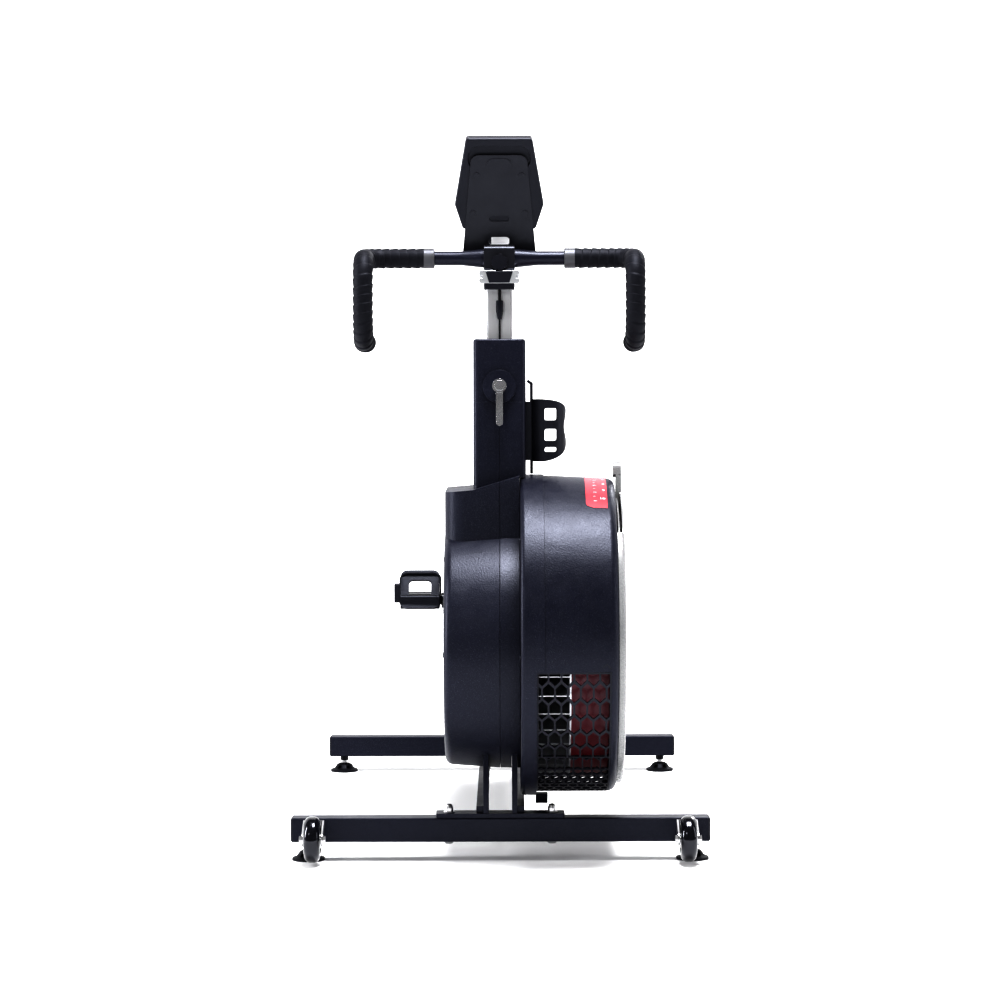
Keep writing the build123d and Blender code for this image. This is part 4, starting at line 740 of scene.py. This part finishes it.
# ---------------------------------------------------------------- bar tape
def rounded_route(corners, radii, step):
    """Points and directions along straight runs joined by tangent arcs."""
    corners = [Vector(c) for c in corners]
    spots, ways = [], []

    def run(a, b):
        length = (b - a).length
        count = max(1, round(length / step))
        for i in range(count):
            spots.append(a.lerp(b, i / count))
            ways.append((b - a).normalized())

    start = corners[0]
    for before, corner, after, radius in zip(corners, corners[1:], corners[2:], radii):
        into = (corner - before).normalized()
        away = (after - corner).normalized()
        turn = into.angle(away)
        reach = radius * math.tan(turn / 2)
        first = corner - into * reach
        run(start, first)
        hinge = into.cross(away).normalized()
        centre = first + hinge.cross(into) * radius
        count = max(4, round(radius * turn / step))
        for i in range(count):
            bend = Matrix.Rotation(turn * i / count, 3, hinge)
            spots.append(centre + bend @ (first - centre))
            ways.append(bend @ into)
        start = corner + away * reach
    run(start, corners[-1])
    spots.append(corners[-1])
    ways.append((corners[-1] - corners[-2]).normalized())
    return spots, ways


def wound_tape(side):
    """Tape wound round one half of the bar in overlapping turns."""
    low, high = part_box("bar_tape")
    outer = 17.4 * MM
    inner = 11.95 * MM
    across = (high.x - outer) * side
    bar_y = bar_centre_y
    corners = [
        (130 * MM * side, bar_y, bar_centre_z),
        (across, bar_y, bar_centre_z),
        (across, low.y + outer, bar_centre_z - 6 * MM),
        (across, low.y + outer, low.z + outer),
        (across, high.y, low.z + outer),
    ]
    spots, ways = rounded_route(corners, (38 * MM, 44 * MM, 54 * MM), 1.1 * MM)
    pitch, steps = 15.0 * MM, 36
    step_share, step_height = 0.06, 1.85 * MM
    band, band_start = 19 * MM, 112 * MM
    points, faces, run = [], [], 0.0
    across_way = Vector((0, 0, 1))
    for i, (spot, way) in enumerate(zip(spots, ways)):
        if i:
            run += (spot - spots[i - 1]).length
        across_way = (across_way - way * across_way.dot(way)).normalized()
        other = way.cross(across_way)
        for k in range(steps):
            a = 2 * math.pi * k / steps
            phase = (run / pitch + side * k / steps) % 1.0
            lift = 1.0 - 0.9 * phase**1.6 if phase > step_share else phase / step_share
            radius = outer - 1.9 * MM + step_height * lift
            points.append(spot + (across_way * math.cos(a) + other * math.sin(a)) * radius)
    rings = len(spots)
    for i in range(rings - 1):
        for k in range(steps):
            a, b = i * steps + k, i * steps + (k + 1) % steps
            faces.append((a, b, b + steps, a + steps))
    faces.append(tuple(range(steps))[::-1])
    faces.append(tuple(range((rings - 1) * steps, rings * steps)))
    wound = outward(build("wound_tape", points, faces))
    shade(wound, 70)
    wound.materials.append(bar_tape.material)
    collar = lathe(
        [
            (0, inner),
            (0, outer - 1.2 * MM),
            (1 * MM, outer - 0.1 * MM),
            (band - 1 * MM, outer - 0.1 * MM),
            (band, outer - 1 * MM),
            (band, inner),
        ],
        (band_start * side, bar_y, bar_centre_z),
        (side, 0, 0),
    )
    shade(collar, 40)
    collar.materials.append(band_grey.material)
    end = spots[-1]
    plug = lathe(
        [
            (-2 * MM, outer - 0.4 * MM),
            (-0.6 * MM, outer - 0.2 * MM),
            (0.0, outer - 1.6 * MM),
            (0.0, 9 * MM),
            (-0.8 * MM, 7 * MM),
        ],
        end,
        (0, 1, 0),
    )
    shade(plug, 40)
    plug.materials.append(black_plastic.material)
    return joined("tape", [wound, collar, plug])


clamp_low, clamp_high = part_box("bar_clamp")
bar_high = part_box("handlebar")[1]
bar_centre_y = (clamp_low.y + clamp_high.y) / 2
bar_centre_z = bar_high.z - 15.9 * MM
tapes = joined("bar_tape_look", [wound_tape(1), wound_tape(-1)])
place("bar_tape_look", tapes, bar_tape, "carriage", "bar_tape_rubber", ("bar_tape",))


# ---------------------------------------------------------------- front grille
def arc_bar(x0, x1, angle0, angle1, inner, outer, steps=1):
    """A bar bent about the fan's axis, between two angles below the front."""
    spots, faces = [], []
    for i in range(steps + 1):
        a = angle0 + (angle1 - angle0) * i / steps
        for x, r in ((x0, inner), (x1, inner), (x1, outer), (x0, outer)):
            spots.append((x, fan_y - r * math.cos(a), fan_z - r * math.sin(a)))
    for i in range(steps):
        for k in range(4):
            a, b = i * 4 + k, i * 4 + (k + 1) % 4
            faces.append((a, b, b + 4, a + 4))
    faces.append((0, 1, 2, 3))
    faces.append(tuple(range(steps * 4, steps * 4 + 4))[::-1])
    return outward(build("bar", spots, faces))


def bent_cells(columns, rows, pitch_x, pitch_angle, wall, start, low, high, inner, outer):
    """A cell lattice bent round the fan's axis from a start angle, trimmed to the opening."""
    flat = hex_mesh(columns, rows, pitch_x, pitch_angle * outer, wall, black_plastic)
    shape = bmesh.new()
    shape.from_mesh(flat)
    bmesh.ops.remove_doubles(shape, verts=shape.verts, dist=LATTICE_MERGE)
    span = (rows - 1) * pitch_angle
    middle = (low + high) / 2
    for edge, way in ((high - middle, 1), (low - middle, -1)):
        bmesh.ops.bisect_plane(
            shape,
            geom=shape.verts[:] + shape.edges[:] + shape.faces[:],
            plane_co=(edge, 0, 0),
            plane_no=(way, 0, 0),
            clear_outer=True,
        )
    walls = bmesh.ops.extrude_face_region(shape, geom=shape.faces[:])
    lifted = [v for v in walls["geom"] if isinstance(v, bmesh.types.BMVert)]
    for v in lifted:
        v.co.z += outer - inner
    for v in shape.verts:
        angle = start + (v.co.y / outer + span / 2)
        radius = inner + v.co.z
        ahead, down = radius * math.cos(angle), radius * math.sin(angle)
        v.co = Vector((middle + v.co.x, fan_y - ahead, fan_z - down))
    bmesh.ops.recalc_face_normals(shape, faces=shape.faces)
    return mesh_from(shape, "cells")


def grille():
    """The front grille: two bands of cells and one of bars, in a frame bent round the fan."""
    grille_low, grille_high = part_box("front_grille")
    degree = math.radians(1.0)
    top_edge, foot_edge = 8.7, 113.2
    rail = 2.6 * MM
    wall = 3.2 * MM
    outer = (fan_y - grille_low.y) / math.cos(math.radians(top_edge))
    inner = outer - 3.0 * MM
    low, high = grille_low.x, grille_high.x
    made = [
        bent_cells(8, 6, 21 * MM, 6.5 * degree, wall, 9.9 * degree, low, high, inner, outer),
        bent_cells(10, 15, 15.4 * MM, 4.2 * degree, wall, 54.2 * degree, low, high, inner, outer),
    ]
    for angle in (top_edge, 44.4, 52.1, foot_edge):
        start, stop = (angle - 0.05) * degree, (angle + 0.62) * degree
        made.append(arc_bar(low, high, start, stop, inner, outer, 2))
    gaps = 8
    for i in range(gaps + 1):
        x = low + (high - low - rail) * i / gaps
        made.append(arc_bar(x, x + rail, 44.6 * degree, 52.3 * degree, inner, outer, 4))
    for x in (low, high - rail):
        stop = (foot_edge + 0.5) * degree
        made.append(arc_bar(x, x + rail, top_edge * degree, stop, inner, outer, 60))
    for mesh in made:
        if not mesh.materials:
            mesh.materials.append(black_plastic.material)
    whole = joined("front_grille_look", made)
    shade(whole, 30)
    place("front_grille_look", whole, black_plastic, "frame", "black_plastic", ("front_grille",))


grille()


# ---------------------------------------------------------------- resistance scale
def on_shell(x, angle, lift):
    """A point above the housing shell at x, an angle in degrees above the front."""
    radius = shell_radius - shell_taper * (x - shell_low) + lift
    a = math.radians(angle)
    return (x, fan_y - radius * math.cos(a), fan_z + radius * math.sin(a))


def scale_label():
    """The red film on the shell, its corners cut round, with figures 10 to 1 and ticks."""
    low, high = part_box("scale_plate")
    print_lift = 0.52 * MM
    tick_width = 0.22
    first, last = 56.4, 125.6
    columns, rows, corner = 12, 60, 12 * MM
    spots, faces = [], []
    for i in range(rows + 1):
        angle = first + (last - first) * i / rows
        arc = min(angle - first, last - angle) * math.radians(1) * shell_radius
        cut = corner - math.sqrt(max(0.0, corner**2 - max(0.0, corner - arc) ** 2))
        for k in range(columns + 1):
            x = low.x + cut + (high.x - low.x - cut) * k / columns
            spots.append(on_shell(x, angle, 0.45 * MM))
    base = len(spots)
    for x, y, z in spots[:base]:
        out = Vector((0, y - fan_y, z - fan_z)).normalized() * 0.4 * MM
        spots.append((x, y - out.y, z - out.z))
    wide = columns + 1
    for i in range(rows):
        for k in range(columns):
            a = i * wide + k
            faces.append((a, a + 1, a + 1 + wide, a + wide))
            faces.append((base + a, base + a + wide, base + a + 1 + wide, base + a + 1))
    rim = list(range(wide))
    rim += [i * wide + columns for i in range(1, rows + 1)]
    rim += [rows * wide + k for k in range(columns - 1, -1, -1)]
    rim += [i * wide for i in range(rows - 1, 0, -1)]
    for a, b in zip(rim, rim[1:] + rim[:1]):
        faces.append((a, b, base + b, base + a))
    film = outward(build("film", spots, faces))
    shade(film, 40)
    film.materials.append(scale_film.material)
    made = [film]
    for i in range(10):
        text = bpy.data.curves.new("figure", "FONT")
        text.body = str(10 - i)
        text.size = 9.5 * MM
        text.align_x = "RIGHT"
        text.align_y = "CENTER"
        holder = bpy.data.objects.new("figure", text)
        bpy.context.scene.collection.objects.link(holder)
        figure = settle(holder)
        bpy.data.curves.remove(text)
        angle = first + 6.2 + i * 6.6
        edge = high.x - 3 * MM
        for v in figure.vertices:
            turn = angle + math.degrees(v.co.y / shell_radius)
            v.co = Vector(on_shell(edge + v.co.x * 1.1, turn, print_lift))
        figure.materials.append(print_white.material)
        made.append(figure)
    for i in range(19):
        angle = first + 4.2 + i * 3.3
        long = 3.4 * MM if i % 2 else 6.0 * MM
        x = low.x + 13 * MM
        outline = ((x, 0), (x + long, 0), (x + long, tick_width), (x, tick_width))
        corners = [on_shell(across, angle + turn, print_lift) for across, turn in outline]
        tick = build("tick", corners, [(0, 1, 2, 3)])
        tick.materials.append(print_white.material)
        made.append(tick)
    label = joined("scale_plate_look", made)
    place("scale_plate_look", label, scale_film, "frame", "red_label", ("scale_plate",))


scale_label()


# ---------------------------------------------------------------- saddle
def saddle_pad():
    """A stuffed pad over the CAD pad's outline: crowned, waisted and gathered to its base."""
    low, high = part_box("saddle_pad")
    shape = bmesh.new()
    shape.from_mesh(frame["nodes"]["saddle_pad"].data)
    bmesh.ops.remove_doubles(shape, verts=shape.verts, dist=CAD_MERGE)
    mesh = mesh_from(shape, "pad_start")
    tall = high.z - low.z
    length = high.y - low.y
    pad = bpy.data.objects.new("pad_start", mesh)
    bpy.context.scene.collection.objects.link(pad)
    remesh = pad.modifiers.new("remesh", "REMESH")
    remesh.mode = "VOXEL"
    remesh.voxel_size = 5.0 * MM
    swell = 7 * MM
    hem = 7 * MM
    margin = 1 * MM
    mesh = settle(pad)
    middle = (low + high) / 2
    for v in mesh.vertices:
        up = (v.co.z - low.z) / tall
        back = (v.co.y - low.y) / length
        x = v.co.x
        v.co.x *= 0.95 - 0.02 * up
        v.co.y = middle.y + (v.co.y - middle.y) * 0.965
        groove = math.exp(-((x / (9 * MM)) ** 2)) * 5 * MM
        dip = groove * max(0.0, up - 0.4) * min(1.0, back * 2.2)
        lift = -6 * MM * math.sin(math.pi * min(1.0, max(0.0, back))) * up
        v.co.z = low.z + 1.5 * MM + (v.co.z - low.z) * 0.9 + (lift - dip) * up
    rest = np.array([v.co for v in mesh.vertices])
    pad = bpy.data.objects.new("pad_cloth", mesh)
    bpy.context.scene.collection.objects.link(pad)
    pinned = pad.vertex_groups.new(name="hem")
    pinned.add([v.index for v in mesh.vertices if v.co.z < low.z + hem], 1.0, "REPLACE")
    cloth = pad.modifiers.new("cloth", "CLOTH")
    cloth.settings.use_pressure = True
    cloth.settings.uniform_pressure_force = 4.0
    cloth.settings.vertex_group_mass = "hem"
    cloth.settings.effector_weights.gravity = 0.0
    cloth.settings.quality = 5
    cloth.collision_settings.use_collision = False
    scene = bpy.context.scene
    scene.frame_start, scene.frame_end = 1, 20
    for moment in range(1, 21):
        scene.frame_set(moment)
    mesh = settle(pad)
    scene.frame_set(1)
    now = np.array([v.co for v in mesh.vertices])
    move = now - rest
    far = np.linalg.norm(move, axis=1, keepdims=True)
    move *= np.minimum(1.0, swell / np.maximum(far, 1e-9))
    now = rest + move
    for v, spot in zip(mesh.vertices, now):
        v.co = spot
    for v in mesh.vertices:
        v.co.z = max(v.co.z, low.z + 0.3 * MM)
        v.co.x = max(low.x + margin, min(high.x - margin, v.co.x))
        v.co.y = max(low.y + margin, min(high.y - margin, v.co.y))
        v.co.z = min(v.co.z, high.z + 3 * MM)
    soft = bpy.data.objects.new("pad_soft", mesh)
    bpy.context.scene.collection.objects.link(soft)
    smooth = soft.modifiers.new("smooth", "SMOOTH")
    smooth.factor = 0.5
    smooth.iterations = 6
    finer = soft.modifiers.new("finer", "SUBSURF")
    finer.levels = finer.render_levels = 1
    mesh = settle(soft)
    mesh.materials.clear()
    mesh.polygons.foreach_set("use_smooth", [True] * len(mesh.polygons))
    pad = place("saddle_cushion", mesh, saddle_skin, "saddle", "saddle_cover", ("saddle_pad",))
    return pad


cushion = saddle_pad()


def saddle_stitches():
    """Two rows of short stitches along the cushion's length, on its surface."""
    low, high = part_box("saddle_pad")
    bpy.context.view_layer.update()
    graph = bpy.context.evaluated_depsgraph_get()
    solid = cushion.evaluated_get(graph)
    count = 44
    drop_height = 0.05
    down = Vector((0, 0, -1))
    seams = []
    for side in (-1, 1):
        for i in range(count):
            share = i / (count - 1)
            y = low.y + 34 * MM + (high.y - low.y - 66 * MM) * share
            x = side * (12 + 16 * max(0.0, share - 0.35) ** 1.1) * MM
            above = Vector((x, y, high.z + drop_height))
            hit, spot, normal, _ = solid.ray_cast(above, down)
            if hit:
                seams.append((spot, normal))
    half, edge, ridge, crown = 1.7, 0.4, 1.1, 0.45
    outline = (
        (-half, -edge, 0),
        (half, -edge, 0),
        (half, edge, 0),
        (-half, edge, 0),
        (-ridge, 0, crown),
        (ridge, 0, crown),
    )
    spots, faces = [], []
    for spot, normal in seams:
        along = (Vector((0, 1, 0)) - normal * normal.y).normalized()
        across = normal.cross(along)
        base = len(spots)
        for u, v, h in outline:
            spots.append(spot + along * u * MM + across * v * MM + normal * (h - 0.1) * MM)
        for face in ((0, 1, 5, 4), (3, 4, 5, 2), (0, 4, 3), (1, 2, 5), (0, 3, 2, 1)):
            faces.append(tuple(base + k for k in face))
    mesh = outward(build("saddle_stitches", spots, faces))
    shade(mesh, 60)
    place("saddle_stitches", mesh, thread_black, "saddle", "saddle_cover")


saddle_stitches()


# ---------------------------------------------------------------- small details
def foot_threads():
    """Turned thread rings on each levelling foot's stem, between the pad and the nut."""
    for node in ("foot_front_left", "foot_front_right", "foot_rear_left", "foot_rear_right"):
        low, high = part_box(node)
        x, y = (low.x + high.x) / 2, (low.y + high.y) / 2
        mesh = row_of(
            "GeometryNodeMeshCylinder",
            {"Radius": 5.25 * MM, "Depth": 0.7 * MM},
            4,
            (x, y, 17.8 * MM),
            (0, 0, 1.3 * MM),
            (0, 0, 0),
            zinc,
        )
        shade(mesh, 30)
        place(node + "_thread", mesh, zinc, BODY[node], SLOT[node])


foot_threads()


def display_figures():
    """Plain seven-bar figures on the display, facing the rider."""
    low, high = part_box("console_screen")
    lean = math.radians(15)
    up = Vector((0, -math.sin(lean), math.cos(lean)))
    out = Vector((0, math.cos(lean), math.sin(lean)))
    right = Vector((-1, 0, 0))
    centre = (low + high) / 2
    reach = max((v.co - centre).dot(out) for v in frame["nodes"]["console_screen"].data.vertices)
    centre = centre + out * (reach + 0.05 * MM)
    strokes = {
        "0": "abcdef", "1": "bc", "2": "abged", "3": "abgcd", "4": "fgbc",
        "5": "afgcd", "6": "afgedc", "7": "abc", "8": "abcdefg", "9": "abcdfg",
    }
    bars = {
        "a": (0, 1, True), "b": (0.5, 0.5, False), "c": (0.5, -0.5, False),
        "d": (0, -1, True), "e": (-0.5, -0.5, False), "f": (-0.5, 0.5, False),
        "g": (0, 0, True),
    }
    spots, faces = [], []

    def bar(u, v, wide, tall):
        base = len(spots)
        for du, dv in ((-1, -1), (1, -1), (1, 1), (-1, 1)):
            spots.append(centre + right * (u + du * wide / 2) + up * (v + dv * tall / 2))
        faces.append((base, base + 1, base + 2, base + 3))

    def figure(text, u, v, size):
        for i, sign in enumerate(text):
            for key in strokes[sign]:
                du, dv, flat = bars[key]
                wide = size * (0.62 if flat else 0.12)
                tall = size * (0.12 if flat else 0.72)
                bar(u + (i * 1.25 + du * 0.78) * size, v + dv * 0.8 * size, wide, tall)

    figure("25", -26 * MM, 18 * MM, 8 * MM)
    figure("64", 10 * MM, 18 * MM, 8 * MM)
    figure("108", -12 * MM, -3 * MM, 10 * MM)
    figure("07", -26 * MM, -24 * MM, 5 * MM)
    figure("30", 14 * MM, -24 * MM, 5 * MM)
    mesh = build("display_figures", spots, faces)
    normal = mesh.polygons[0].normal
    if normal.dot(out) < 0:
        mesh.flip_normals()
    place("display_figures", mesh, ink_dark, "carriage", "black_plastic")


display_figures()


# ---------------------------------------------------------------- floor, light and camera
floor_finish = Finish("floor_white", (0.9, 0.9, 0.9), 0.75, Specular_IOR_Level=0.1)
# painted shadow: the floor's glow is dimmed to near dark within 0.6 m of the origin, under the
# bike, and rises to full by about 1.4 m
far = floor_finish.node(
    "ShaderNodeVectorMath", {0: floor_finish.place}, out="Value", operation="LENGTH"
)
painted_shadow_fade = ((far - 0.6) * 1.3).limit()
glow_with_painted_shadow = floor_finish.blend(painted_shadow_fade, (0.08, 0.08, 0.085), (1.0, 1.0, 1.0))
floor_finish.feed("Emission Color", glow_with_painted_shadow)
floor_finish.feed("Emission Strength", 1.0)
floor_mesh = build(
    "floor",
    [
        (-40, -40, 0), (40, -40, 0), (40, 7, 0), (-40, 7, 0), (-40, 8.2, 0.35),
        (40, 8.2, 0.35), (-40, 9, 1.4), (40, 9, 1.4), (-40, 9, 12), (40, 9, 12),
    ],
    [(0, 1, 2, 3), (3, 2, 5, 4), (4, 5, 7, 6), (6, 7, 9, 8)],
)
floor_mesh.materials.append(floor_finish.material)
floor = bpy.data.objects.new("floor", floor_mesh)
bpy.context.scene.collection.objects.link(floor)


def lamp(name, spot, aim, size, power, tall):
    """A soft rectangular lamp at a spot, turned to its aim."""
    data = bpy.data.lights.new(name, "AREA")
    data.shape = "RECTANGLE"
    data.size = size
    data.size_y = tall
    data.energy = power
    holder = bpy.data.objects.new(name, data)
    bpy.context.scene.collection.objects.link(holder)
    holder.location = spot
    holder.rotation_euler = (Vector(aim) - Vector(spot)).to_track_quat("-Z", "Y").to_euler()


lamp("overhead", (0.25, -0.75, 3.3), (0, 0, 0), 1.1, 210, 1.3)
lamp("left_strip", (-2.9, -0.7, 1.5), (0, -0.3, 0.7), 0.45, 110, 2.2)
lamp("right_strip", (3.0, -0.9, 1.5), (0, -0.3, 0.7), 0.3, 24, 2.2)
lamp("front_left", (-1.9, -4.6, 3.0), (0, 0, 0.6), 0.7, 40, 0.7)
lamp("back_fill", (1.8, 3.0, 2.6), (0, 0, 0.8), 1.2, 40, 1.2)

world = bpy.data.worlds.new("studio")
world.use_nodes = True
sky = world.node_tree.nodes["Background"]
sky.inputs["Color"].default_value = (1, 1, 1, 1)
sky.inputs["Strength"].default_value = 0.25
bpy.context.scene.world = world
bpy.context.scene.view_settings.view_transform = "Standard"
bpy.context.scene.view_settings.gamma = 0.56

camera_data = bpy.data.cameras.new("camera")
camera_data.sensor_width = 36.0
camera_data.lens = 110.88
camera_data.shift_x = -0.009
camera_data.shift_y = -0.137
camera_data.clip_end = 60
camera = bpy.data.objects.new("camera", camera_data)
bpy.context.scene.collection.objects.link(camera)
camera_place = (0.0163, -5.6405, 0.830)
roll = Matrix.Rotation(math.radians(0.15), 3, "Y")
level = Matrix.Rotation(math.radians(90), 3, "X")
camera.matrix_world = Matrix.Translation(camera_place) @ (roll @ level).to_4x4()
bpy.context.scene.camera = camera
